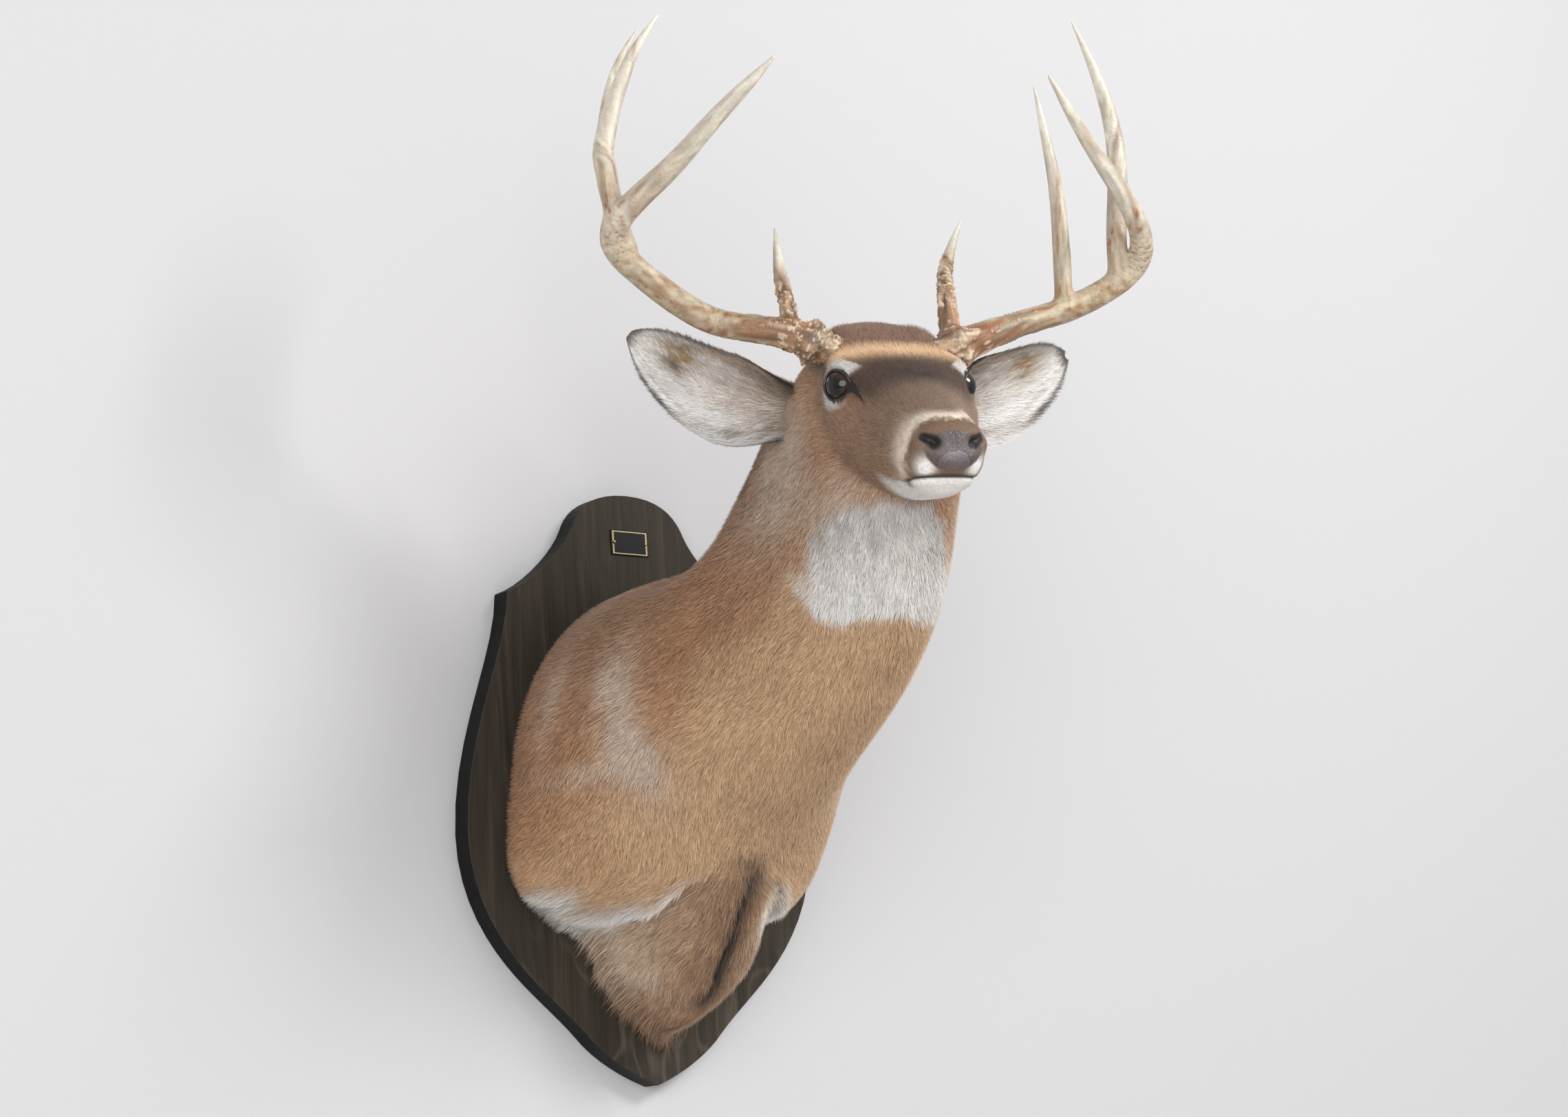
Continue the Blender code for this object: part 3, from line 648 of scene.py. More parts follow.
# %% The skin's surface
COAT_SECTIONS = (0, 3, 6, 9, 11, 12.5, 14, 16, 19, 21.5, 23, 24.5, 26)
COAT_DEPTHS = vec(6.0, 6.5, 6.5, 6.5, 6.0, 4.5, 3.2, 2.2, 1.8, 1.1, 0.6, 0.0, 0.0) / 1000.0
FRINGE_X = (0.000, 0.050, 0.073, 0.114, 0.132, 0.170)
FRINGE_Z = (-0.099, -0.108, -0.139, -0.142, -0.124, -0.116)


def coat_depth(section):
    return np.interp(section, COAT_SECTIONS, COAT_DEPTHS)


def crease_mask(points, width=0.0050):
    """The fold below the brisket, from the whorl of the hair down to the board."""
    x, y, z = points.T
    x = x - np.interp(z, (-0.22, -0.17, -0.105), (-0.002, 0.005, 0.008))
    below = ease(-0.094, -0.112, z)
    below *= ease(-0.228, -0.212, z)
    return bell(x, width) * below * ease(-0.040, -0.075, y)


def fringe_height(points):
    """Height above the line where the shoulder's hair ends and the inner leg begins."""
    return points[:, 2] - np.interp(np.abs(points[:, 0]), FRINGE_X, FRINGE_Z)


def below_fringe(points):
    """1 just under the shoulder's fringe, fading out further down."""
    height = fringe_height(points)
    beside = ease(0.02, 0.05, np.abs(points[:, 0]))
    return ease(0.003, -0.006, height) * ease(-0.060, -0.012, height) * beside


def skin_surface(section, angle):
    """Skin points, their normals, and the way to the nose along them."""
    outer, normal, nose_ward = form_frame(section, angle)
    skin = outer - normal * coat_depth(section)[:, None]
    skin = skin - normal * (0.007 * crease_mask(skin) + 0.009 * below_fringe(skin))[:, None]
    return shape_face(skin, normal), normal, nose_ward


def spaced(*stops):
    """Section numbers from (start, end, count) stretches, closer where the face needs them."""
    rows = [np.linspace(start, end, count, endpoint=False) for start, end, count in stops]
    return np.concatenate([*rows, [stops[-1][1]]])


def around_body(count):
    """Angles round the body, closer together beside the eyes and the mouth."""
    fine = np.linspace(-math.pi, math.pi, 4001)
    fold = np.degrees(np.arcsin(np.sin(fine)))
    weight = 1.0 + 1.7 * bell(fold - 36.0, 17.0) + 0.6 * bell(fold + 35.0, 22.0)
    total = np.concatenate([[0.0], np.cumsum((weight[1:] + weight[:-1]) / 2.0)])
    return np.interp(np.linspace(0.0, total[-1], count, endpoint=False), total, fine)


SKIN_SECTIONS = spaced(
    (0, 9, 34), (9, 12, 18), (12, 14.4, 26), (14.4, 17.6, 104), (17.6, 20.5, 40), (20.5, 26, 108)
)
SKIN_ANGLES = around_body(262)
print("skin grid:", len(SKIN_SECTIONS), "by", len(SKIN_ANGLES))


def with_dome(rings, steps, height):
    """Adds rings that shrink onto the last one's middle, drawn out ahead of it into a low dome."""
    middle = rings[-1].mean(axis=0)
    shrink = np.sin(np.linspace(math.pi / 2.0, 0.0, steps))[1:, None, None]
    dome = middle + (rings[-1] - middle) * shrink + HEAD_AXES[0] * height * np.sqrt(1.0 - shrink**2)
    return np.concatenate([rings, dome])


def body_skin():
    """Rings of skin, closed at the board by a flat end and at the nose by a low dome."""
    points, _, _ = skin_surface(*crossed(SKIN_SECTIONS, SKIN_ANGLES))
    rings = points.reshape(len(SKIN_SECTIONS), len(SKIN_ANGLES), 3)
    back = pole(rings[0].mean(axis=0), len(SKIN_ANGLES))
    rings = with_dome(np.concatenate([back, rings]), steps=10, height=0.0022)
    ahead = np.full(len(rings) - len(SKIN_SECTIONS) - 1, LAST_SECTION)
    return rings, np.concatenate([[0.0], SKIN_SECTIONS, ahead])


def body_unwrap(section, angle):
    """The flat map of skin and coat: angle across, sections along."""
    across = 0.02 + 0.70 * (angle + math.pi) / (2.0 * math.pi)
    return np.stack([across, 0.02 + 0.96 * section / LAST_SECTION], axis=-1)


# %% [markdown]
# ## Markings
# A white-tail's colours are soft-edged: tan sides, a golden front of the neck, a white throat,
# rings round the eyes and a pale band behind the nose.  Each is a soft mask in the head's or the
# trunk's own measures, laid over the last, and skin and hair both ask the same function.

# %% Markings
TAN = vec(0.383, 0.206, 0.111)
GOLD = vec(0.550, 0.355, 0.205)
BACK_BROWN = vec(0.255, 0.150, 0.088)
# Pale grey: real grey hair on the neck, throat and ear roots, and also the painted highlight of the
# shoulder's sheen.
GREY_HAIR_AND_SHEEN = vec(0.560, 0.430, 0.330)
WHITE = vec(0.820, 0.780, 0.730)
CREAM = vec(0.840, 0.710, 0.580)
CHEEK = vec(0.250, 0.148, 0.088)
FOREHEAD = vec(0.070, 0.040, 0.026)
DARK = vec(0.045, 0.032, 0.026)
NOSE_SIDE = vec(0.200, 0.132, 0.090)
FORELOCK = vec(0.215, 0.125, 0.082)
LEG_BROWN = vec(0.330, 0.200, 0.120)
LEG_BUFF = vec(0.480, 0.330, 0.215)
# Half-width of the white throat against height in the head's frame, from its lower edge to the jaw
BIB_HEIGHTS = (-0.210, -0.200, -0.184, -0.150, -0.119, -0.104, -0.084, -0.070)
BIB_HALVES = (0.060, 0.074, 0.086, 0.077, 0.065, 0.054, 0.024, 0.008)
# Painted highlight (the shoulder's sheen) and grey hair on the neck: strength, centre (|x|, y, z) and reach
PAINTED_SHOULDER_SHEEN = (
    (1.0, (0.124, -0.197, -0.011), (0.04, 0.020, 0.032)),
    (0.9, (0.135, -0.177, 0.070), (0.05, 0.024, 0.050)),
    (0.6, (0.132, -0.187, 0.030), (0.04, 0.018, 0.035)),
    (0.6, (0.160, -0.102, 0.072), (0.05, 0.016, 0.045)),
    (0.5, (0.150, -0.140, -0.005), (0.05, 0.05, 0.012)),
)
NECK_GREY = (
    (1.0, (0.050, -0.330, 0.240), (0.07, 0.055, 0.060)),
    (1.0, (0.055, -0.33, 0.290), (0.06, 0.05, 0.05)),
)


def paint(base, colour, mask):
    return base + (np.asarray(colour) - base) * np.clip(mask, 0.0, 1.0)[:, None]


def layered(colour, layers):
    """Each layer's colour laid over the last as far as its mask says."""
    for tint, mask in layers:
        colour = paint(colour, tint, mask)
    return colour


def blobs(points, rows):
    return sum(strength * blob(points, centre, reach) for strength, centre, reach in rows)


def trunk_layers(section, angle, points, local, patchy, fine):
    """The coat's layers from the board to the jaw."""
    low = np.sin(angle)
    near = mirrored(points, 0)
    x, y, z = points.T
    aside = near[:, 0]
    trunk = 1.0 - ease(11.0, 13.5, section)
    yield GOLD, (1.0 - ease(8.5, 11.5, section)) * ease(-0.05, -0.80, low + 0.35 * patchy)
    yield BACK_BROWN, 0.80 * ease(0.05, 0.85, low + 0.5 * patchy) * trunk
    # Painted highlight: the shoulder's sheen, laid in as pale grey colour.
    yield GREY_HAIR_AND_SHEEN, 0.85 * blobs(near, PAINTED_SHOULDER_SHEEN) * (1.0 + 1.6 * patchy + 0.8 * fine)
    yield GREY_HAIR_AND_SHEEN * 0.92, 0.9 * blobs(near, NECK_GREY)
    yield GREY_HAIR_AND_SHEEN, 0.85 * blob(near, (0.040, -0.420, 0.210), (0.06, 0.045, 0.028))
    # Brisket, inner legs and their fringe
    ragged = 0.010 * ripple(points * (1.0, 1.0, 0.35), 0.007, 9)
    streak = ripple(points * (1.0, 1.0, 0.25), 0.006, 8)
    height = fringe_height(points)
    leg = ease(0.004, -0.010, height)
    yield LEG_BUFF * (1.0 + 0.5 * streak)[:, None], leg
    yield LEG_BROWN * (1.0 + 0.5 * streak)[:, None], leg * ease(0.075, 0.012, aside)
    yield CREAM, leg * ease(0.066, 0.108, aside - 0.3 * height + 2.0 * ragged) * 0.9
    fringe = bell(height - 0.002, 0.0085) * ease(0.042, 0.075, aside) * ease(0.166, 0.148, aside)
    yield WHITE, 0.92 * fringe * trunk
    yield CREAM, ease(0.030, 0.044, x + 0.4 * ragged) * ease(-0.172, -0.142, z) * leg * 0.9 * trunk
    # Painted shade in the fold below the brisket: brown across it, nearly black along its middle.
    yield LEG_BROWN * 0.45, 0.9 * crease_mask(points, 0.0120) * trunk
    yield DARK, 0.95 * crease_mask(points, 0.0065) * trunk
    yield LEG_BROWN * 0.55, 0.8 * blob(points, (-0.004, -0.205, -0.094), (0.026, 0.02, 0.008))
    yield DARK, 0.85 * blob(points, (0.008, -0.200, -0.103), (0.011, 0.014, 0.009))
    # Throat
    half = np.interp(local[:, 2], BIB_HEIGHTS, BIB_HALVES) * np.where(np.cos(angle) < 0.0, 1.0, 0.60)
    bib = ease(0.100, 0.111, z + ragged) * ease(0.010, -0.008, local[:, 1] - half + 1.2 * ragged)
    bib *= ease(7.5, 8.5, section) * (1.0 - ease(12.2, 13.2, section)) * (low < 0.0)
    # Painted shade: the white throat darkens towards the jaw, which shades it from above.
    shade = 1.02 - 0.30 * ease(-0.18, -0.11, local[:, 2])
    yield WHITE * (shade * (1.0 + 0.28 * streak + 0.2 * fine))[:, None], bib


def head_layers(angle, points, local, patchy, fine, head):
    """The face's layers; `head` is 1 from the jaw on."""
    f, l, u = local.T
    low = np.sin(angle)
    yield CHEEK * (1.0 + 0.20 * fine + 0.15 * patchy)[:, None], head
    yield FOREHEAD, head * ease(-0.004, 0.012, u) * ease(0.105, 0.06, f)
    yield FOREHEAD * 0.35, head * blob(local, (0.060, 0.0, 0.028), (0.030, 0.026, 0.03)) * (0.9 + fine)
    yield NOSE_SIDE, head * 0.75 * ease(0.045, 0.085, f) * ease(-0.045, -0.015, u)
    yield NOSE_SIDE * 0.75, head * 0.6 * blob(local, (0.105, 0.0, 0.028), (0.030, 0.016, 0.02))
    yield GOLD * 1.50, head * 0.90 * bell(f + 0.014, 0.016) * ease(0.01, 0.025, u)
    lock = ease(-0.030, -0.042, f + 0.25 * fine * 0.02) * ease(0.004, 0.018, u) * ease(0.078, 0.060, l)
    yield FORELOCK, head * lock * ease(-0.125, -0.100, f)
    yield WHITE * 0.75, head * ease(-0.045, -0.75, low) * ease(-0.076, -0.090, u + 0.02 * fine)
    # Rings round the eyes: wide above and below, thin behind, and short at the front corner
    edge, _ = eye_place(local)
    ray = unit(local - EYE_CENTRE)
    above, ahead = ray @ EYE_UP, ray @ EYE_FRONT
    wide = 0.22 + 0.50 * np.abs(above)
    ring = ease(1.0 + wide + 0.25, 1.0 + 0.55 * wide, edge + 0.25 * fine)
    short = np.where(above > 0.0, 0.45, 0.0)
    ring *= 0.55 + 0.45 * ease(0.05, 0.35, np.abs(above))
    yield WHITE * 0.72, ring * ease(0.95 - short, 0.45 - short, ahead + 0.3 * fine)
    yield DARK, 1.0 - ease(1.02, 1.10, edge)
    yield DARK * 0.3, front_corner(local)
    # Muzzle: a pale band behind the nose, brown beside it, white lips and chin
    gap, present = mouth_gap(local)
    beside = ease(0.004, 0.032, l)
    grit = ripple(points, 0.0035, 12)
    back_edge = 0.149 - 0.015 * beside + 0.006 * grit
    width = 0.0060 + 0.0095 * beside
    yield CREAM, 0.92 * (bell(f - back_edge, width) * ease(-0.004, 0.004, gap)) * (0.90 + 0.8 * grit)
    yield CHEEK * 0.62, ease(back_edge + 0.6 * width, back_edge + 1.3 * width, f) * ease(-0.002, 0.003, gap)
    flank = blob(local, (0.163, 0.0230, -0.0235), (0.0100, 0.0075, 0.0100))
    yield WHITE * 0.95, 1.6 * flank * ease(-0.001, 0.002, gap) * ease(0.144, 0.152, f)
    chin = ease(0.098, 0.122, f + 0.004 * fine) * ease(0.001, -0.002, gap)
    yield WHITE * 0.97, np.maximum(chin, ease(0.080, 0.105, f) * ease(-0.050, -0.062, u))
    yield DARK * 0.6, present * bell(gap, 0.0019)
    yield DARK, 0.9 * blob(local, (0.141, 0.030, -0.0470), (0.0070, 0.008, 0.0042))
    yield DARK * 2.4, pad_mask(local)
    yield DARK * 0.25, ease(0.35, 0.75, nostril_mask(local))


def markings(section, angle, points):
    """The coat's colour at each place on the skin."""
    local = face_places(points)
    patchy = ripple(points, 0.045, 3)
    fine = ripple(points, 0.012, 5)
    colour = TAN * (1.0 + 0.22 * patchy + 0.12 * fine)[:, None]
    colour = layered(colour, trunk_layers(section, angle, points, local, patchy, fine))
    head = ease(12.0, 13.6, section)
    face = layered(colour, head_layers(angle, points, local, patchy, fine, head))
    return paint(colour, face, head)


# %% [markdown]
# ## Ears
# An ear is a cupped leaf: a bent centre line, a margin on each side of it, and a hollow between
# them that grows shallower towards the tip.  It is made as two sheets joined at the margin.

# %% Ears
EAR_ROOT = (-0.086, 0.052, -0.050)
EAR_BEND = (-0.116, 0.146, -0.042)
EAR_TIPS = {"right": (-0.158, 0.224, 0.003), "left": (-0.158, 0.227, -0.015)}
EAR_FACING = vec(0.94, 0.24, 0.24)
EAR_UPPER_WIDTH = 0.042
EAR_LOWER_WIDTH = 0.050
EAR_DEPTH = 0.026
EAR_WALL = 0.0011
EAR_DARK = (0.085, 0.060, 0.045)


def ear_sheet(label, along, across):
    """The ear's middle sheet: half an ellipse across, open to the front, carried along the centre line."""
    path = Curve((EAR_ROOT, EAR_BEND, EAR_TIPS[label]))
    centre, ahead = path(2.0 * along), path.direction(2.0 * along)
    facing = flatten(EAR_FACING, ahead)
    over = np.cross(facing, ahead)
    opening = 0.45 + 0.55 * ease(0.0, 0.45, along)
    upper = EAR_UPPER_WIDTH * opening * (1.0 - along**3.4) ** 0.60
    lower = EAR_LOWER_WIDTH * opening * (1.0 - along**2.0) ** 0.80
    half = np.maximum(np.where(across > 0.0, upper, lower), 0.0012)
    roll = np.radians(85.0 - 35.0 * ease(0.0, 0.9, along))
    arc = roll * across
    sideways = half * np.sin(arc) / np.sin(roll)
    hollow = EAR_DEPTH * (1.0 - 0.85 * along**1.5)
    depth = hollow * (np.cos(roll) - np.cos(arc)) / (1.0 - np.cos(roll))
    return from_head(centre + over * sideways[:, None] + facing * depth[:, None], SIDES[label])


def ear_frame(label, along, across):
    """Sheet points, the normal into the hollow, and the way to the tip."""
    along = np.clip(along, 0.01, 0.99)
    tip_ward = unit(ear_sheet(label, along + 0.01, across) - ear_sheet(label, along - 0.01, across))
    round_ward = ear_sheet(label, along, across + 0.02) - ear_sheet(label, along, across - 0.02)
    into = unit(np.cross(round_ward, tip_ward)) * SIDES[label]
    into = into * np.where(dot(into, HEAD_AXES[0]).mean() > 0.0, 1.0, -1.0)
    return ear_sheet(label, along, across), into, tip_ward


def ear_ring(columns):
    """Place across (-1 to 1 and back) and side (+1 inner, -1 outer) round one closed ring."""
    turn = np.linspace(0.0, 2.0 * math.pi, columns, endpoint=False)
    return signed_power(-np.cos(turn), 0.8), np.sin(turn)


def ear_skin(label, rows=44, columns=64):
    """Rings of ear skin from root to tip, and how far along the ear each ring is."""
    along = np.linspace(0.0, 1.0, rows) ** 0.9
    across, side = ear_ring(columns)
    here, into, _ = ear_frame(label, *crossed(along, across))
    thin = np.tile(side, rows) * EAR_WALL
    rings = (here + into * thin[:, None]).reshape(rows, columns, 3)
    ends = [pole(rings[end].mean(axis=0), columns) for end in (0, -1)]
    return np.concatenate([ends[0], rings, ends[1]]), np.concatenate([[0.0], along, [1.0]])


def ear_colour(label, along, across, inner):
    """White hair over buff skin inside, with an ochre patch and dark rims; brown outside."""
    leaf = np.stack([along, across], axis=1)
    grain = ripple(np.stack([along * 0.19, across * 0.045, 0.0 * along], axis=1), 0.006, 21)
    fold = ease(0.42, 0.66, across + 0.50 * (0.42 - along) + 0.25 * grain) * ease(0.74, 0.56, along)
    rim = ease(0.16, 0.03, 1.0 - np.abs(across) + 0.05 * grain) * ease(0.38, 0.70, along)
    tip = ease(0.90, 0.985, along + 0.03 * grain)
    inside = (
        ((0.36, 0.26, 0.20), 0.60 * blob(leaf, (0.36, 0.15), (0.20, 0.40)) * (1.0 + 1.5 * grain)),
        ((0.33, 0.215, 0.105), 0.95 * blob(leaf, (0.72, 0.40), (0.13, 0.42)) * (1.0 + grain)),
        ((0.10, 0.07, 0.05), 0.75 * blob(leaf, (0.72, 0.10), (0.055, 0.16)) * (label == "right")),
        ((0.14, 0.10, 0.08), 0.55 * blob(leaf, (0.34, -0.55), (0.05, 0.14))),
        ((0.42, 0.310, 0.240), 0.9 * fold),
        (GREY_HAIR_AND_SHEEN * 0.72, 0.95 * ease(0.40, 0.10, along + 0.2 * grain - 0.10 * across)),
        (EAR_DARK, 0.85 * np.maximum(rim, tip)),
    )
    outside = (
        ((0.07, 0.05, 0.04), np.maximum(tip, 0.6 * rim)),
        (TAN, 0.6 * ease(0.35, 0.10, along)),
    )
    inside = layered(WHITE * 1.08 * (1.0 + 0.18 * grain)[:, None], inside)
    outside = layered(vec(0.280, 0.210, 0.155) * (1.0 + 0.3 * grain)[:, None], outside)
    return np.where(inner[:, None], inside, outside)


def ear_unwrap(label, along, across, inner):
    low = 0.02 if label == "right" else 0.52
    u = np.where(inner, 0.80, 0.91) + 0.045 * across
    return np.stack([u, low + 0.44 * along], axis=-1)


print("brown ear back:", ear_colour("right", vec(0.6), vec(0.0), np.array([False])).round(2))

# %% [markdown]
# ## One skin
# Body and ears are joined in one mesh, which stands for all the solids of flesh.

# %% One skin


def hide_finish():
    """Short flat hair on skin: the marking's colour, fine specks and a fibrous bump."""
    finish = Finish("short_hair", roughness=0.75)
    fibre = finish.noise(finish.place(), 900.0, 2.0, 0.6)
    speck = finish.noise(finish.place(), 330.0, 3.0, 0.6)
    colour = finish.tint(finish.hair_colour(), speck * 0.9 + 0.50)
    return finish.set(Base_Color=colour, Normal=finish.bump(fibre, 0.0006, 0.6))


def body_parts():
    """The body's points, faces, map and colours."""
    rings, sections = body_skin()
    rows, columns = rings.shape[:2]
    faces, places = grid_faces(rows, columns)
    corner_angle = np.append(SKIN_ANGLES, math.pi)[np.rint(places[..., 0] * columns).astype(int)]
    corner_section = sections[np.rint(places[..., 1] * (rows - 1)).astype(int)]
    points = rings.reshape(-1, 3)
    colours = markings(*crossed(sections, SKIN_ANGLES), points)
    return points, faces, body_unwrap(corner_section, corner_angle), colours


def ear_parts(label):
    """One ear's points, faces, map and colours."""
    rings, along = ear_skin(label)
    across, side = ear_ring(rings.shape[1])
    faces, _ = grid_faces(*rings.shape[:2])
    along, across = crossed(along, across)
    inner = np.tile(side, len(rings)) > 0.0
    colours = ear_colour(label, along, across, inner) * 0.8
    return rings.reshape(-1, 3), faces, ear_unwrap(label, along, across, inner)[faces], colours


def build_skin():
    parts = [body_parts(), *map(ear_parts, SIDES)]
    offsets = np.cumsum([0] + [len(part[0]) for part in parts[:-1]])
    points, quads, maps, colours = (np.concatenate(column) for column in zip(*parts))
    quads = quads + np.repeat(offsets, [len(part[1]) for part in parts])[:, None]
    skin = make_piece("skin", points, quads, hide_finish(), maps, colours, merge=True)
    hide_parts("chest", "neck", "head", "muzzle", "ear_right", "ear_left")
    print("skin:", len(skin.data.polygons), "faces")


build_skin()

# %% [markdown]
# ## Tufts of hair
# A deer's coat is short, stiff hair that lies back over itself like thatch.  Each tuft here is a
# solid spike of four faces: a root edge, a ridge a third of the way along, and a point.  Hundreds
# of thousands of them overlap, root under tip, so they are worked out together as arrays.

# %% Tufts
QUICK_SHARE = 1.0
PIECE_TUFTS = 48000
PATCH = 0.0015  # half the side of a tuft's own patch on the flat map
RIDGE_ALONG, RIDGE_HEIGHT = 0.33, 0.28  # parts of a tuft's length and width
SPIKE_FACES = np.array(((0, 1, 2), (1, 3, 2), (3, 0, 2), (0, 3, 1)))


def tuft_mesh(roots, lie, normal, length, width, root_colour, tip_colour, uv):
    """Points, faces, map, colours and shading normals of four-faced spikes.

    The root edge lies across the hair, half a width each side; the ridge stands over it a third of
    the way along; the point is a length away along the lie.
    """
    side = unit(np.cross(lie, normal))
    over = unit(np.cross(side, lie))
    half_edge = side * (width / 2.0)[:, None]
    ridge = roots + lie * (RIDGE_ALONG * length)[:, None] + over * (RIDGE_HEIGHT * width)[:, None]
    points = np.stack([roots - half_edge, roots + half_edge, ridge, roots + lie * length[:, None]], axis=1)
    shade = np.stack([normal - 0.45 * side, normal + 0.45 * side, normal + 0.2 * over, normal], axis=1)
    colours = np.stack([root_colour, root_colour, (root_colour + tip_colour) / 2.0, tip_colour], axis=1)
    faces = (np.arange(len(roots))[:, None, None] * 4 + SPIKE_FACES).reshape(-1, 3)
    spread = np.array(((-PATCH, -PATCH), (PATCH, -PATCH), (0.0, 0.0), (0.0, PATCH)))
    flat_uv = (uv[:, None] + spread).reshape(-1, 2)[faces]
    return points.reshape(-1, 3), faces, flat_uv, colours.reshape(-1, 3), unit(shade).reshape(-1, 3)


def build_coat(name, *fields):
    """Splits one coat, given as tuft_mesh's arrays, into pieces of under 200,000 faces."""
    total = len(fields[0])
    parts = max(1, math.ceil(total / PIECE_TUFTS))
    cuts = np.linspace(0, total, parts + 1).astype(int)
    for index, (start, end) in enumerate(zip(cuts[:-1], cuts[1:])):
        points, faces, uv, colours, normals = tuft_mesh(*(field[start:end] for field in fields))
        make_piece(f"{name}_{index + 1}", points, faces, COAT, uv, colours, normals)
    print(name, total, "tufts in", parts, "pieces")


def coat_finish():
    """Hair: the tuft's own colour, softly glossy, with a faint sheen at grazing angles."""
    gloss = {"Specular_IOR_Level": 0.30, "Sheen_Weight": 0.10, "Sheen_Roughness": 0.5}
    finish = Finish("coat_hair", roughness=0.62, **gloss)
    return finish.set(Base_Color=finish.hair_colour())


COAT = coat_finish()
print("one tuft has", len(SPIKE_FACES), "faces")

# %% [markdown]
# ## Where hairs grow and how they lie
# Roots are spread by area: the loft is cut into small cells, each gets tufts in proportion to its
# area and to how close the hair is there, and each root is jittered inside its cell.  The hair
# lies from the nose towards the tail, is drawn down by its weight, and parts round the whorl.

# %% Roots and lie
CELLS_LONG, CELLS_ROUND = 520, 300
BOARD_FACE = -0.0245
WHORL = vec(0.008, -0.205, -0.100)


def along_sections(places, values, scale=1.0):
    """A measure of the hair that changes from section to section."""
    return lambda section: np.interp(section, places, np.array(values) * scale)


HAIRS_PER_CM2 = along_sections((0, 9, 12, 13, 16, 20, 24, 26), (50, 52, 62, 95, 120, 130, 150, 150))
HAIR_LENGTH = along_sections(
    (0, 5, 9, 11, 12.5, 14, 16, 19, 22, 24, 26), (15, 14, 13, 12, 10, 8, 6.2, 5.2, 3.8, 2.6, 2.0), 0.001
)
HAIR_WIDTH = along_sections((0, 9, 12, 14, 19, 24, 26), (1.15, 1.1, 0.95, 0.75, 0.62, 0.45, 0.4), 0.001)


def cell_middles(count):
    return (np.arange(count) + 0.5) / count


def roots_by_area():
    """Section numbers and angles of the roots, sampled in step with area times density."""
    cell_long, cell_round = LAST_SECTION / CELLS_LONG, 2.0 * math.pi / CELLS_ROUND
    long, around = cell_middles(CELLS_LONG) * LAST_SECTION, (cell_middles(CELLS_ROUND) * 2.0 - 1.0) * math.pi
    section, angle = crossed(long, around)
    step_long = form_step(section, angle, 0.02, 0.0) / 0.04
    step_round = form_step(section, angle, 0.0, 0.01) / 0.02
    area = np.linalg.norm(np.cross(step_long, step_round), axis=1) * cell_long * cell_round
    wanted = np.cumsum(area * HAIRS_PER_CM2(section) * 1e4 * QUICK_SHARE)
    count = int(wanted[-1])
    cell = np.searchsorted(wanted, np.arange(count) + RANDOM.random(count))
    cell = np.minimum(cell, len(section) - 1)
    section = section[cell] + (RANDOM.random(count) - 0.5) * cell_long
    angle = angle[cell] + (RANDOM.random(count) - 0.5) * cell_round
    return np.clip(section, 0.02, LAST_SECTION - 0.02), angle


def turn_about(vectors, axis, angle):
    """Vectors turned about unit axes square to them."""
    return vectors * np.cos(angle)[:, None] + np.cross(axis, vectors) * np.sin(angle)[:, None]


def raised(lie, normal, tilt):
    """The lie tipped up out of the skin by an angle."""
    return unit(lie * np.cos(tilt)[:, None] + normal * np.sin(tilt)[:, None])


def lie_of_coat(section, roots, normal, nose_ward):
    """Unit directions in the skin along which the hair lies."""
    trunk = 1.0 - ease(11.5, 13.5, section)
    lie = flatten(vec(0.0, 0.0, -1.0) * (0.55 * trunk)[:, None] - nose_ward, normal)
    below = ease(-0.085, -0.120, roots[:, 2]) * trunk
    fan = flatten(unit(roots - WHORL) + vec(0.0, 0.35, -0.35), normal)
    lie = flatten(lie * (1.0 - below)[:, None] + fan * below[:, None], normal)
    swirl = ripple(roots, 0.035, 31) * 0.9 + ripple(roots, 0.010, 32) * 0.5
    swirl += RANDOM.normal(0.0, 0.13, len(roots))
    return turn_about(lie, normal, swirl)


def is_bare(local, edge):
    """True on the leather of the nose, in nostrils, mouth and eyes, and at the eyes' front corners."""
    gap, present = mouth_gap(local)
    bare = (pad_mask(local) > 0.35) | (nostril_mask(local) > 0.30) | (edge < 1.13)
    return bare | (front_corner(local) > 0.5) | (np.abs(gap) < 0.0012) & (present > 0.5)


DARK_TIPS, PALE_TIPS = 0.28, 0.18  # shares of the tufts
DARK_TIP, PALE_TIP, USUAL_TIP = 0.60, 1.32, 1.10  # tip colour over root colour


def coat_tones(colour, section, angle):
    """Each tuft's own root and tip colour: lighter and darker hairs, in faint streaks along the coat."""
    count = len(colour)
    pale = ease(0.30, 0.55, dot(colour, vec(0.3, 0.6, 0.1)))
    streak = ripple(np.stack([angle * 0.9, section * 0.05, 0.0 * angle], axis=1), 0.020, 41)
    tone = 1.02 + 0.10 * (1.0 - pale) + RANDOM.normal(0.0, 1.0, count) * (0.20 - 0.10 * pale)
    tone = np.clip(tone + streak * (0.16 - 0.06 * pale), 0.5, 1.9)[:, None]
    kind = RANDOM.random(count)
    tip = np.where(kind < DARK_TIPS, DARK_TIP, np.where(kind > 1.0 - PALE_TIPS, PALE_TIP, USUAL_TIP))
    tip = tip + (1.04 - tip) * 0.35 * pale
    return np.clip(colour * tone * 0.90, 0.0, 0.9), np.clip(colour * tone * tip[:, None], 0.0, 0.92)


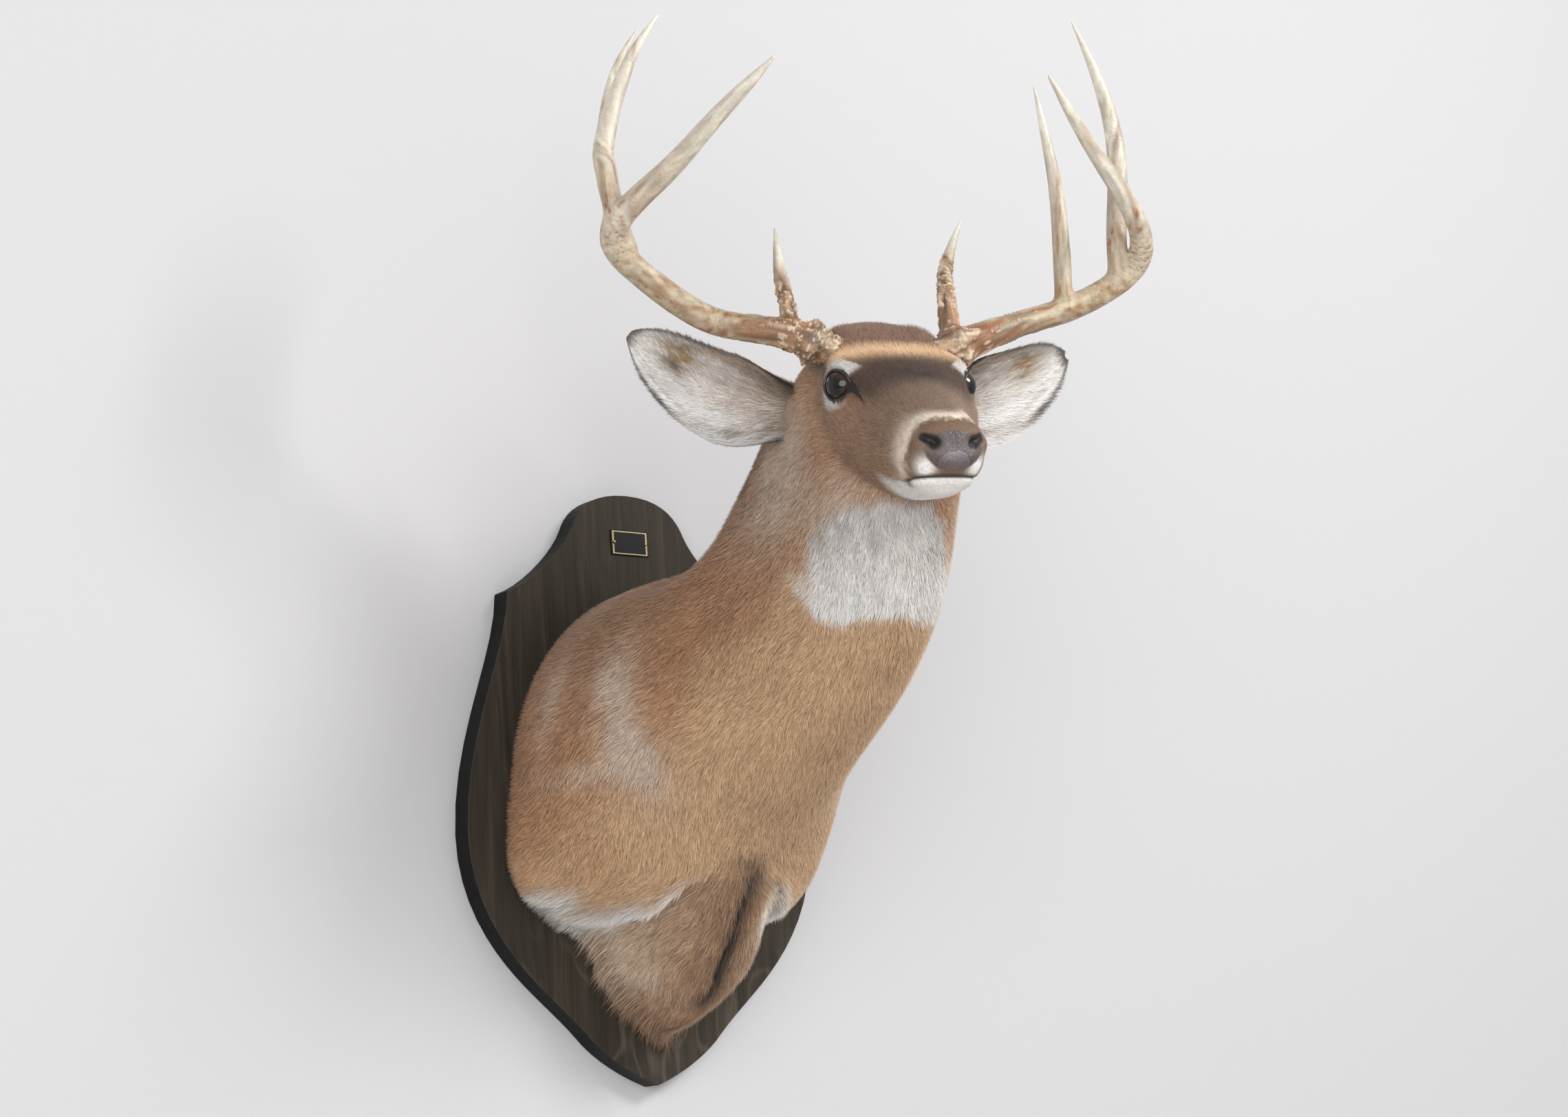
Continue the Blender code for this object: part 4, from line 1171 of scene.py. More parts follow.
def grow_body_coat():
    section, angle = roots_by_area()
    roots, normal, nose_ward = skin_surface(section, angle)
    local = face_places(roots)
    edge, _ = eye_place(local)
    keep = ~is_bare(local, edge)
    every = (section, angle, roots, normal, nose_ward, local, edge)
    section, angle, roots, normal, nose_ward, local, edge = (values[keep] for values in every)
    count = len(roots)
    lie = lie_of_coat(section, roots, normal, nose_ward)
    length = HAIR_LENGTH(section) * RANDOM.uniform(0.75, 1.15, count)
    width = HAIR_WIDTH(section) * RANDOM.uniform(0.75, 1.25, count)
    low = np.sin(angle)
    trunk = section < TRUNK_HAIR_ENDS
    length *= 1.0 + 0.10 * (trunk * (section > 8.0) * ease(-0.45, -0.7, low))
    height = fringe_height(roots)
    fringe = trunk * bell(height - 0.004, 0.010) * ease(0.03, 0.06, np.abs(roots[:, 0]))
    leg = trunk * ease(0.0, -0.012, height)
    stray = RANDOM.random(count) ** 5
    length *= 1.0 + 0.45 * fringe + (0.10 + 0.9 * stray) * leg
    crown = blob(local, (-0.062, 0.0, 0.035), (0.024, 0.055, 0.03)) * (section > 11.5)
    length *= 1.0 + 0.3 * crown
    hem = ease(1.1, 0.2, section)
    length *= 1.0 - 0.55 * hem * ease(-0.75, -0.45, low) + 0.1 * hem * ease(-0.75, -0.9, low)
    length *= 0.55 + 0.45 * ease(1.1, 1.9, edge)
    brim = crown * ease(0.020, 0.042, np.abs(local[:, 1]))
    length *= 1.0 + 1.1 * brim
    rise = 0.95 * coat_depth(section) + 0.0004 + 0.0020 * crown + 0.0110 * brim + 0.004 * fringe
    tilt = np.arcsin(np.clip(rise / length, 0.0, 0.9)) * RANDOM.uniform(0.6, 1.1, count)
    lie = raised(turn_about(lie, normal, crown * RANDOM.normal(0.0, 1.0, count)), normal, tilt)
    # Hair that would run into the board bends out along it instead.
    reach = BOARD_FACE - RANDOM.uniform(0.0005, 0.006, count) - roots[:, 1]
    over = trunk & (lie[:, 1] * length > reach)
    bent = np.stack([lie[:, 0], reach / length, lie[:, 2]], axis=1) + normal * (1.0, 0.0, 1.0) * 0.8
    lie = np.where(over[:, None], unit(bent), lie)
    tones = coat_tones(markings(section, angle, roots), section, angle)
    roots = roots - normal * 0.0004
    build_coat("coat", roots, lie, normal, length, width, *tones, body_unwrap(section, angle))


grow_body_coat()

# %% [markdown]
# ## Hair of the ears
# Inside, long pale hairs sweep from the root out over both margins; outside they are short and
# brown.  The margin itself carries a close fringe.

# %% Ear hair
INNER_SHARE, MARGIN_SHARE = 0.56, 0.16
INNER_LEAN, OUTER_LEAN, ROOT_LEAN = 14.0, 11.0, 14.0  # degrees out of the skin


def grow_ear_coat(label, count=24000):
    count = int(count * QUICK_SHARE)
    inner = RANDOM.random(count) < INNER_SHARE
    along = RANDOM.random(count) ** 0.85 * 0.97 + 0.015
    across = np.sin(RANDOM.uniform(-0.5, 0.5, count) * math.pi)
    margin = RANDOM.random(count) < MARGIN_SHARE
    across = np.where(margin, np.sign(across) * RANDOM.uniform(0.94, 1.0, count), across)
    here, into, tip_ward = ear_frame(label, along, across)
    normal = into * np.where(inner, 1.0, -1.0)[:, None]
    beside = [ear_frame(label, along, np.clip(across + step, -1.0, 1.0))[0] for step in (0.05, -0.05)]
    outwards = unit(beside[0] - beside[1]) * np.sign(across)[:, None]
    fan = np.where(inner, 0.25 + 0.9 * np.abs(across) ** 1.5, 0.15)[:, None]
    lie = flatten(tip_ward + outwards * fan + margin[:, None] * outwards * 0.7, normal)
    lie = turn_about(lie, normal, RANDOM.normal(0.0, 0.20, count))
    near_root = ease(0.25, 0.05, along)
    length = np.where(inner, 0.0170 - 0.0080 * along, 0.0065) * RANDOM.uniform(0.6, 1.25, count)
    length = np.where(margin, 0.0045 + 0.003 * (1.0 - along), length)
    length = length * (0.35 + 0.65 * ease(1.0, 0.80, along)) * (1.0 + 0.5 * near_root)
    width = np.where(inner, 0.00085, 0.00080) * RANDOM.uniform(0.7, 1.3, count)
    tilt = np.radians(np.where(inner, INNER_LEAN, OUTER_LEAN) + ROOT_LEAN * ease(0.30, 0.05, along))
    tilt = np.where(margin, 0.04, tilt * RANDOM.uniform(0.4, 1.3, count))
    lie = raised(lie, normal, tilt)
    roots = here + normal * (EAR_WALL * np.sqrt(np.maximum(1.0 - across**2, 0.0)) * 0.6)[:, None]
    strand = ripple(np.stack([along * 0.02, across * 0.05, inner * 1.0], axis=1), 0.0035, 24)
    tone = np.clip(1.0 + RANDOM.normal(0.0, 0.17, count) + strand, 0.35, 1.25)[:, None]
    colour = ear_colour(label, along, across, inner) * tone
    tones = (colour * 0.85, np.clip(colour * 1.12, 0.0, 0.92))
    uv = ear_unwrap(label, along, across, inner)
    build_coat(f"ear_hair_{label}", roots, lie, normal, length, width, *tones, uv)


for ear_label in SIDES:
    grow_ear_coat(ear_label)

# %% [markdown]
# ## Eyes
# A taxidermist's eye is a glass ball painted black-brown behind, clear in front.  The pupil is a
# level oval, so dark that only the gloss and a little brown show.  A black rim of lid and a row
# of lashes frame it.

# %% Eyes


def eye_finish(label):
    """Dark brown glass with a wide level pupil, under a clear hard coat."""
    gloss = {"Specular_IOR_Level": 0.18, "Coat_Weight": 0.45, "Coat_Roughness": 0.02}
    finish = Finish(f"glass_eye_{label}", roughness=0.04, **gloss)
    side = SIDES[label]
    ray = finish.vector("SUBTRACT", finish.here(), tuple(from_head(EYE_CENTRE, side)))
    toward = finish.vector("DOT_PRODUCT", ray, tuple(way_from_head(EYE_OUT, side)), "Value")
    height = finish.vector("DOT_PRODUCT", ray, tuple(way_from_head(EYE_UP, side)), "Value")
    off_axis = finish.clamp(1.0 - toward * (1.0 / EYE_RADIUS)) + finish.size(height) * 22.0
    ring = finish.clamp((off_axis - 0.16) * 5.0)
    return finish.set(Base_Color=finish.mix(ring, (0.004, 0.003, 0.003), (0.030, 0.014, 0.006)))


def build_eye(label, rows=48, columns=64):
    """A ball whose front is drawn out a little where the clear cornea bulges."""
    polar = np.linspace(0.0, math.pi, rows)
    turn = np.linspace(0.0, 2.0 * math.pi, columns, endpoint=False)
    polar, turn = (values[:, None] for values in crossed(polar, turn))
    bulge = 1.0 + 0.045 * bell(polar, 0.62)
    ray = EYE_FRONT * (np.sin(polar) * np.cos(turn)) + EYE_UP * (np.sin(polar) * np.sin(turn))
    ball = EYE_CENTRE + EYE_RADIUS * bulge * (ray + EYE_OUT * np.cos(polar))
    faces, _ = grid_faces(rows, columns)
    points = from_head(ball, SIDES[label])
    eye = make_piece(f"glass_eye_{label}", points, faces, eye_finish(label), merge=True)
    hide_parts(f"eye_{label}")


def lid_line(turn, lift):
    """Points on the almond opening, `lift` above the glass: the same edge formula as the skin's."""
    cosine, sine = np.cos(turn), np.sin(turn)
    size = 1.0 / almond(cosine, sine)
    front, up = cosine * size, sine * size
    across = np.minimum(np.sqrt(front**2 + up**2), 0.985)
    out = np.sqrt(1.0 - across**2)
    ray = unit(EYE_FRONT * front[:, None] + EYE_UP * up[:, None] + EYE_OUT * out[:, None])
    return EYE_CENTRE + ray * (EYE_RADIUS + lift), ray


def build_lids(label):
    """The bare dark rim: a thin tube round the opening, thickest at the front corner."""
    turn = np.linspace(0.0, 2.0 * math.pi, 120)
    points, _ = lid_line(turn, LID_LIFT)
    thick = 0.0014 + 0.0007 * bell(np.minimum(turn, 2 * math.pi - turn), 0.35)
    ahead = unit(np.roll(points, -1, axis=0) - np.roll(points, 1, axis=0))
    ahead[0] = ahead[-1] = unit(points[1] - points[-2])
    rings = tube(points, thick, 10, ahead, EYE_OUT, capped=False)
    faces, _ = grid_faces(*rings.shape[:2])
    points = from_head(rings.reshape(-1, 3), SIDES[label])
    make_piece(f"eye_rim_{label}", points, faces, RIM, merge=True)


def build_lashes(label, count=46):
    """Stiff dark lashes along the upper lid, leaning out and forward."""
    turn = np.linspace(0.35, 2.75, count) + RANDOM.normal(0.0, 0.02, count)
    points, ray = lid_line(turn, LASH_LIFT)
    lean = unit(ray * 0.8 + EYE_UP * 0.35 + EYE_FRONT * (0.4 * np.cos(turn))[:, None])
    lean = unit(lean + RANDOM.normal(0.0, 0.10, lean.shape))
    side = SIDES[label]
    length = RANDOM.uniform(0.005, 0.0085, count)
    width = np.full(count, LASH_WIDTH)
    dark = np.repeat(DARK[None] * 0.5, count, axis=0)
    uv = np.stack([np.full(count, 0.75), 0.95 + 0.01 * turn], axis=1)
    lie, normal = way_from_head(lean, side), unit(way_from_head(ray + EYE_UP, side))
    build_coat(f"lashes_{label}", from_head(points, side), lie, normal, length, width, dark, dark, uv)


rim_finish = Finish("eye_rim", roughness=0.35, Coat_Weight=0.3)
rim_grain = rim_finish.noise(rim_finish.place(), 900.0, 2.0)
RIM = rim_finish.set(Base_Color=rim_finish.mix(rim_grain, (0.006, 0.005, 0.005), (0.020, 0.015, 0.012)))
for eye_label in SIDES:
    build_eye(eye_label)
    build_lids(eye_label)
    build_lashes(eye_label)

# %% [markdown]
# ## Nose leather
# The pad of the nose is bare, dark and pebbled.  A thin sheet a hair's breadth over the skin
# carries that leather, so that its finish needn't share the coat's.

# %% Nose leather
NOSE_COLUMNS = 240
NOSE_STARTS = 20.9
LEATHER_LIFT, LEATHER_THICKNESS = 0.0006, 0.0010


def nose_finish():
    """Grey-black leather: cells for the pebbles, paler colour on their tops, a damp gloss."""
    finish = Finish("nose_leather", roughness=0.42, Coat_Weight=0.15, Coat_Roughness=0.25)
    here = finish.place()
    cells = finish.add("ShaderNodeTexVoronoi", {"feature": "SMOOTH_F1"}, {"Vector": here, "Scale": 520.0})
    cloud = finish.noise(here, 90.0, 3.0)
    pebble = finish.clamp(1.0 - cells * 1.5)
    colour = finish.tint(finish.hair_colour(), pebble * 0.5 + cloud * 0.7 + 0.40)
    return finish.set(Base_Color=colour, Normal=finish.bump(pebble, 0.0009, 0.8))


def build_nose():
    sections = spaced((NOSE_STARTS, LAST_SECTION, 110))
    angles = np.linspace(-math.pi, math.pi, NOSE_COLUMNS, endpoint=False)
    points, normal, _ = skin_surface(*crossed(sections, angles))
    lift = LEATHER_LIFT * ease(0.05, 0.5, pad_mask(face_places(points))) - LEATHER_LIFT
    rings = (points + normal * lift[:, None]).reshape(len(sections), NOSE_COLUMNS, 3)
    rings = with_dome(rings, steps=14, height=0.0028)
    faces, _ = grid_faces(*rings.shape[:2])
    flat = rings.reshape(-1, 3)
    local = face_places(flat)
    low = local[:, 2]
    tone = layered(vec(0.085, 0.068, 0.066), (
        # Painted highlight: a pale bluish-grey patch at the front of the pad, where the damp leather shines.
        ((0.230, 0.205, 0.215), blob(local, (0.170, 0.003, -0.008), (0.02, 0.012, 0.008))),
        ((0.120, 0.072, 0.064), 0.8 * ease(-0.012, -0.022, low)),
        ((0.020, 0.016, 0.016), ease(-0.024, -0.029, low)),
        ((0.004, 0.003, 0.003), ease(0.30, 0.85, nostril_mask(local))),
    ))
    faces = faces[(pad_mask(local)[faces] > 0.30).all(axis=1)]
    used, faces = np.unique(faces, return_inverse=True)
    faces = faces.reshape(-1, 4)
    material = nose_finish()
    nose = make_piece("nose_leather", flat[used], faces, material, None, tone[used], merge=True)
    back = nose.modifiers.new("Thickness", "SOLIDIFY")
    back.thickness = LEATHER_THICKNESS
    back.offset = -1.0
    print("nose:", len(faces), "faces")


build_nose()

# %% [markdown]
# ## Antlers
# Antler is bone.  It is rough and pearled near the burr, grooved along the beam, and polished
# pale at the tips.  Beam and tines are swept tubes that grow together, so they are joined as one
# volume and smoothed at the forks; the grain is then pushed into the surface point by point.

# %% Antlers
# Each side's beam and three tines.  Each row is a point (f, l, u) of the centre line in the head's
# frame and the radius there, all in millimetres; l runs out from the middle on both sides.
ANTLERS = {
    "right": (
        ((-46, 36, 10, 12.5), (-50, 73, 29, 15), (-66, 122, 36, 13), (-85, 170, 42, 12.8),
         (-100, 230, 79, 12.5), (-98, 258, 122, 12.2), (-88, 217, 177, 10.5), (-78, 182, 225, 8.5),
         (-72, 152, 263, 6.2), (-68, 128, 293, 1.2)),
        ((-60, 90, 34, 9.5), (-80, 92, 58, 7.5), (-105, 93, 79, 6.2), (-147, 90, 113, 1)),
        ((-102, 243, 103, 8), (-130, 255, 141, 9.5), (-165, 257, 179, 8.2), (-208, 243, 238, 5.2),
         (-238, 215, 282, 1)),
        ((-96, 258, 128, 8.5), (-128, 262, 166, 10.2), (-152, 260, 195, 9.5), (-192, 234, 255, 6.2),
         (-220, 200, 300, 1)),
    ),
    "left": (
        ((-45, 30, 12, 12.5), (-50, 71, 25, 15), (-66, 135, 43, 12.2), (-85, 189, 53, 12.2),
         (-98, 240, 74, 12), (-98, 266, 110, 11.2), (-91, 243, 158, 9.5), (-83, 209, 198, 8),
         (-75, 172, 242, 5.6), (-69, 139, 284, 1.2)),
        ((-60, 66, 34, 9), (-90, 67, 75, 7.2), (-118, 77, 96, 5.5), (-147, 96, 124, 1)),
        ((-85, 188, 56, 8.5), (-115, 190, 106, 8.5), (-145, 189, 157, 7), (-172, 184, 198, 4.8),
         (-200, 175, 247, 1)),
        ((-98, 245, 82, 8.5), (-122, 247, 128, 10), (-160, 253, 191, 9.2), (-195, 240, 253, 5.8),
         (-220, 214, 308, 1)),
    ),
}
VOXEL = 0.0014
TUBE_SIDES, BEAM_STEPS, TINE_STEPS = 28, 220, 90
THINNEST = 0.0009
WEB = 0.0028  # how widely the forks are webbed over
MOST_MOVE = 0.002
SLICE = 4000
BONE_TIP = vec(0.600, 0.555, 0.460)
BONE_MID = vec(0.400, 0.325, 0.215)
BONE_TAN = vec(0.330, 0.225, 0.118)
BONE_BROWN = vec(0.215, 0.100, 0.044)
PEARL = vec(0.640, 0.500, 0.360)
BONE_GRAIN = ((0.0042, 51), (0.0024, 52), (0.0052, 56))  # size and seed of grooves, fine grooves, flecks
ANTLER_NODES = ("beam_base", "beam_middle", "beam_tip", "brow_tine", "second_tine", "third_tine")


def limb(knots, side, steps):
    """Centre line, direction and radius of a beam or tine, read finely from its knots."""
    curve = Curve([(*from_head(knot[:3], side), knot[3]) for knot in np.array(knots) / 1000.0])
    places = np.linspace(0.0, len(knots) - 1.0, steps)
    values = curve(places)
    return values[:, :3], curve.direction(places), np.maximum(values[:, 3], THINNEST), places


def nearest(points, targets):
    """Index of the nearest target to each point, worked out in slices to save memory."""
    found = np.empty(len(points), int)
    for start in range(0, len(points), SLICE):
        part = points[start : start + SLICE]
        distance = (part**2).sum(axis=1)[:, None] - 2.0 * part @ targets.T + (targets**2).sum(axis=1)[None]
        found[start : start + SLICE] = distance.argmin(axis=1)
    return found


def settle(points, limbs):
    """Moves points onto the limbs' smooth union, and gives the way out and each limb's share.

    Each limb's distance is that to its centre line less its radius.  The union's distance is minus
    WEB times the logarithm of the sum of exp(-distance / WEB), which webs the forks over.
    """
    for _ in range(4):
        ways, distances = [], []
        for line, _, radius, _ in limbs:
            found = nearest(points, line)
            spoke = points - line[found]
            reach = np.linalg.norm(spoke, axis=1)
            ways.append(spoke / reach[:, None])
            distances.append(reach - radius[found])
        distances = np.stack(distances)
        least = distances.min(axis=0)
        share = np.exp(-(distances - least) / WEB)
        total = share.sum(axis=0)
        distance = least - WEB * np.log(total)
        outward = unit((np.stack(ways) * (share / total)[..., None]).sum(axis=0))
        points = points - outward * np.clip(distance, -MOST_MOVE, MOST_MOVE)[:, None]
    return points, outward, share / total


def limb_marks(points, limb, start, knotty):
    """One limb's word on each point: age, roughness, grooves, beads, flecks, underside, burr."""
    line, ahead, _, places = limb
    found = nearest(points, line)
    place, ahead = places[found], ahead[found]
    part = place / places[-1]
    to_tip = start + (1.0 - start) * place / places[-1]
    rough = 0.95 * (1.0 - ease(0.30, 0.85, part)) if knotty else 1.0 - ease(0.06, 0.36, to_tip)
    spoke = points - line[found]
    spoke = spoke - ahead * dot(spoke, ahead)[:, None]
    lengthways = ahead * dot(points, ahead)[:, None]
    drawn = spoke + lengthways * 0.16
    groove, fine_groove, fleck = (ripple(drawn, size, seed) for size, seed in BONE_GRAIN)
    beads = value_noise(spoke + lengthways * 0.5, 0.0030, 53)
    under = ease(0.1, 0.9, -unit(spoke)[:, 2])
    burr = bell(place - 1.0, 0.13) * (start == 0.0)
    return np.stack([to_tip, rough, groove, fine_groove, beads, fleck, under, burr])


def fused_volume(name, tubes):
    """Points and faces of one closed mesh round overlapping tubes, by a voxel remesh."""
    counts = [rings.shape[0] * rings.shape[1] for rings in tubes]
    offsets = np.cumsum([0, *counts[:-1]])
    points = np.concatenate([rings.reshape(-1, 3) for rings in tubes])
    faces = [grid_faces(*rings.shape[:2])[0] + offset for rings, offset in zip(tubes, offsets)]
    mesh = bpy.data.meshes.new(name)
    mesh.from_pydata(points.tolist(), [], np.concatenate(faces).tolist())
    draft = show(name, mesh)
    merge_and_face_out(mesh)
    remesh = draft.modifiers.new("Volume", "REMESH")
    remesh.mode = "VOXEL"
    remesh.voxel_size = VOXEL
    bpy.context.view_layer.update()
    solid = draft.evaluated_get(bpy.context.evaluated_depsgraph_get()).to_mesh()
    found = np.empty(len(solid.vertices) * 3, np.float32)
    solid.vertices.foreach_get("co", found)
    corners = np.empty(len(solid.loops), np.int32)
    solid.loops.foreach_get("vertex_index", corners)
    bpy.data.objects.remove(draft, do_unlink=True)
    return found.reshape(-1, 3).astype(float), corners.reshape(-1, 4)


def bone_finish():
    """Bone: the grown-in stain, fine dark grooves along it, and a satin polish."""
    finish = Finish("antler_bone", roughness=0.42)
    here = finish.place()
    mottle = finish.noise(here, 120.0, 4.0, 0.65)
    pits = finish.noise(here, 620.0, 3.0, 0.6)
    colour = finish.tint(finish.hair_colour(), mottle * 0.55 + pits * 0.55 + 0.46)
    bump = finish.bump(mottle + pits * 0.5, 0.0012, 0.5)
    return finish.set(Base_Color=colour, Roughness=mottle * 0.25 + 0.30, Normal=bump)


BONE = bone_finish()


def bone_colours(marks, pearl, knobs, tone):
    """Tan bone, brown and beaded at the base, dark in its grooves, and ivory towards the tips."""
    to_tip, rough, groove, fine_groove, _, fleck, under, burr = marks
    ticks = ease(0.16, 0.34, fine_groove) * (1.0 - ease(0.45, 0.85, to_tip))
    stain = np.clip(rough * 1.05 + 0.4 * tone + 1.1 * fleck + 0.5 * fine_groove, 0.0, 1.0)
    under = under * (1.0 - ease(0.20, 0.50, to_tip))
    brown = np.clip(0.95 * stain + 0.6 * under + 0.55 * ticks, 0.0, 1.0) * (0.85 + fleck)
    colour = layered(BONE_MID, (
        (BONE_TAN, ease(-0.05, 0.22, fleck + 0.4 * fine_groove) * (1.0 - 0.70 * to_tip)),
        (BONE_TIP, ease(0.30, 0.95, to_tip + 0.3 * tone)),
        (BONE_BROWN, brown),
    ))
    colour = colour * (1.0 + 1.5 * groove * (0.20 + rough) + 0.5 * fine_groove)[:, None]
    return layered(colour, (
        (PEARL, 0.80 * ease(0.30, 0.9, pearl) + 0.35 * burr * knobs),
        (DARK * 2.0, 0.6 * burr * ease(0.45, 0.2, knobs)),
    ))


def build_antler(label, forks):
    """`forks` holds how far along the beam each tine starts, as a part of its length."""
    beam, *tines = ANTLERS[label]
    side = SIDES[label]
    limbs = [limb(beam, side, BEAM_STEPS)] + [limb(tine, side, TINE_STEPS) for tine in tines]
    references = [HEAD_AXES[0]] + [HEAD_AXES[1]] * len(tines)
    tubes = [
        tube(line, radius, TUBE_SIDES, ahead, reference)
        for (line, ahead, radius, _), reference in zip(limbs, references)
    ]
    points, faces = fused_volume(f"antler_{label}", tubes)
    points, normals, share = settle(points, limbs)
    marks = [limb_marks(points, *each) for each in zip(limbs, (0.0, *forks), (False, True, False, False))]
    marks = (np.stack(marks) * share[:, None]).sum(axis=0)
    to_tip, rough, groove, fine_groove, beads, _, _, burr = marks
    rough[:] = np.maximum(rough, 0.05 * (1.0 - ease(0.7, 1.0, to_tip)))
    pearl = ease(0.52, 0.76, beads) * rough
    knobs = value_noise(points, 0.0060, 54)
    push = 0.0018 * rough * groove + 0.0009 * fine_groove * (0.25 + rough) + 0.0020 * pearl
    push += burr * (0.0030 + 0.0060 * knobs)
    points = points + normals * push[:, None]
    colour = np.clip(bone_colours(marks, pearl, knobs, ripple(points, 0.030, 55)), 0.0, 0.9)
    bone = make_piece(f"antler_{label}", points, faces, BONE, None, colour)
    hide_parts(*(f"antler_{label}_{part}" for part in ANTLER_NODES))
    print(bone.name, len(faces), "faces")


build_antler("right", (0.15, 0.49, 0.57))
build_antler("left", (0.15, 0.33, 0.48))

# %% [markdown]
# ## Board and plate
# The shield is stained almost black, with the grain of an open-pored wood showing grey-brown on
# its face, and a smooth black edge.  The small plate is black with a thin gilt line.

# %% Board and plate
PLATE_HEIGHT = 0.250
FACE_DEPTH = 0.0225
PLATE_HALF_WIDTH, PLATE_HALF_HEIGHT = 0.0235, 0.0130


def wood_finish():
    """Rings of growth cut lengthways: noise drawn out up the board, bent by a slower noise.

    Low on the board the same noise is cut into level bands, whose edges are wavy lines of figure.
    """
    finish = Finish("stained_wood", roughness=0.60, Specular_IOR_Level=0.12)
    slow = finish.noise(finish.place(3.0, 1.0, 0.9), 3.2, 2.0, 0.5)
    here = finish.vector("ADD", finish.place(1.0, 1.0, 0.045), finish.tint(slow, 0.05))
    rings = finish.noise(here, 95.0, 5.0, 0.62)
    pores = finish.noise(finish.place(1.0, 1.0, 0.03), 420.0, 3.0, 0.6)
    grain = finish.clamp((rings - 0.32) * 2.4)
    low_down = finish.clamp(finish.axis("Z") * -9.0 - 1.1)
    figure = finish.noise(finish.place(1.0, 1.0, 0.40), 11.0, 2.0, 0.5)
    contour = finish.clamp(1.0 - finish.size(finish.math("FRACT", figure * 9.0) - 0.5) * 7.0)
    dark, middle, light = (0.030, 0.024, 0.018), (0.042, 0.034, 0.025), (0.062, 0.050, 0.037)
    face = finish.ramp(grain, (0.0, dark), (0.55, middle), (1.0, light))
    face = finish.tint(face, pores * 0.8 + 0.60 + contour * low_down * 0.9)
    on_face = finish.clamp((finish.axis("Y") * -1.0 - FACE_DEPTH) * 1200.0)
    colour = finish.mix(on_face, (0.006, 0.005, 0.005), face)
    rough = pores * 0.2 + 0.5 - finish.clamp(1.0 - on_face) * 0.10
    bump = finish.bump(pores + grain * 0.5, 0.0004, 0.5)
    return finish.set(Base_Color=colour, Roughness=rough, Normal=bump)


def plate_finish():
    """Black enamel with a gilt line inside its edge, and no lettering."""
    finish = Finish("plate_enamel", roughness=0.30, Specular_IOR_Level=0.15)
    across = finish.size(finish.axis("X")) * (1.0 / PLATE_HALF_WIDTH)
    upright = finish.size(finish.axis("Z") - PLATE_HEIGHT) * (1.0 / PLATE_HALF_HEIGHT)
    border = finish.math("MAXIMUM", across, upright)
    line = (border > 0.84) * (0.92 - border > 0.0)
    scuff = finish.noise(finish.place(), 300.0, 3.0)
    colour = finish.mix(line, (0.008, 0.007, 0.007), (0.30, 0.24, 0.13))
    return finish.set(Base_Color=colour, Metallic=line, Roughness=scuff * 0.3 + 0.2)


def pin_finish():
    """Brass, browned in patches."""
    finish = Finish("brass_pin", roughness=0.3, metallic=1.0)
    tarnish = finish.noise(finish.place(), 900.0, 2.0)
    return finish.set(Base_Color=finish.mix(tarnish, (0.50, 0.36, 0.15), (0.30, 0.20, 0.08)))


repaint(["board"], wood_finish())
repaint(["name_plate"], plate_finish())
repaint(["plate_pin_right", "plate_pin_left"], pin_finish())
print("board and plate finished")

# %% [markdown]
# ## Stage, light and camera
# A pale wall, a pale floor below, a broad soft lamp high on the right and an even sky.

# %% Stage
REACH = 9.0  # how far wall and floor run each way
FLOOR_HEIGHT = -1.5
WALL_GAP = 0.0006


def flat_square(name, corners, finish, paint_colour):
    finish.shader.inputs["Base Color"].default_value = (*paint_colour, 1.0)
    mesh = bpy.data.meshes.new(name)
    mesh.from_pydata(corners, [], [(0, 1, 2, 3)])
    mesh.materials.append(finish.material)
    show(name, mesh)


def clear_from_behind(finish):
    """Seen from behind the wall isn't there, so that the back of the board shows."""
    behind = finish.add("ShaderNodeNewGeometry", output="Backfacing")
    clear = finish.add("ShaderNodeBsdfTransparent")
    paint_side = Wire(finish, finish.shader.outputs[0])
    both = finish.add("ShaderNodeMixShader", None, {0: behind, 1: paint_side, 2: clear})
    finish.tree.links.new(both.socket, finish.tree.nodes["Material Output"].inputs["Surface"])
    return finish


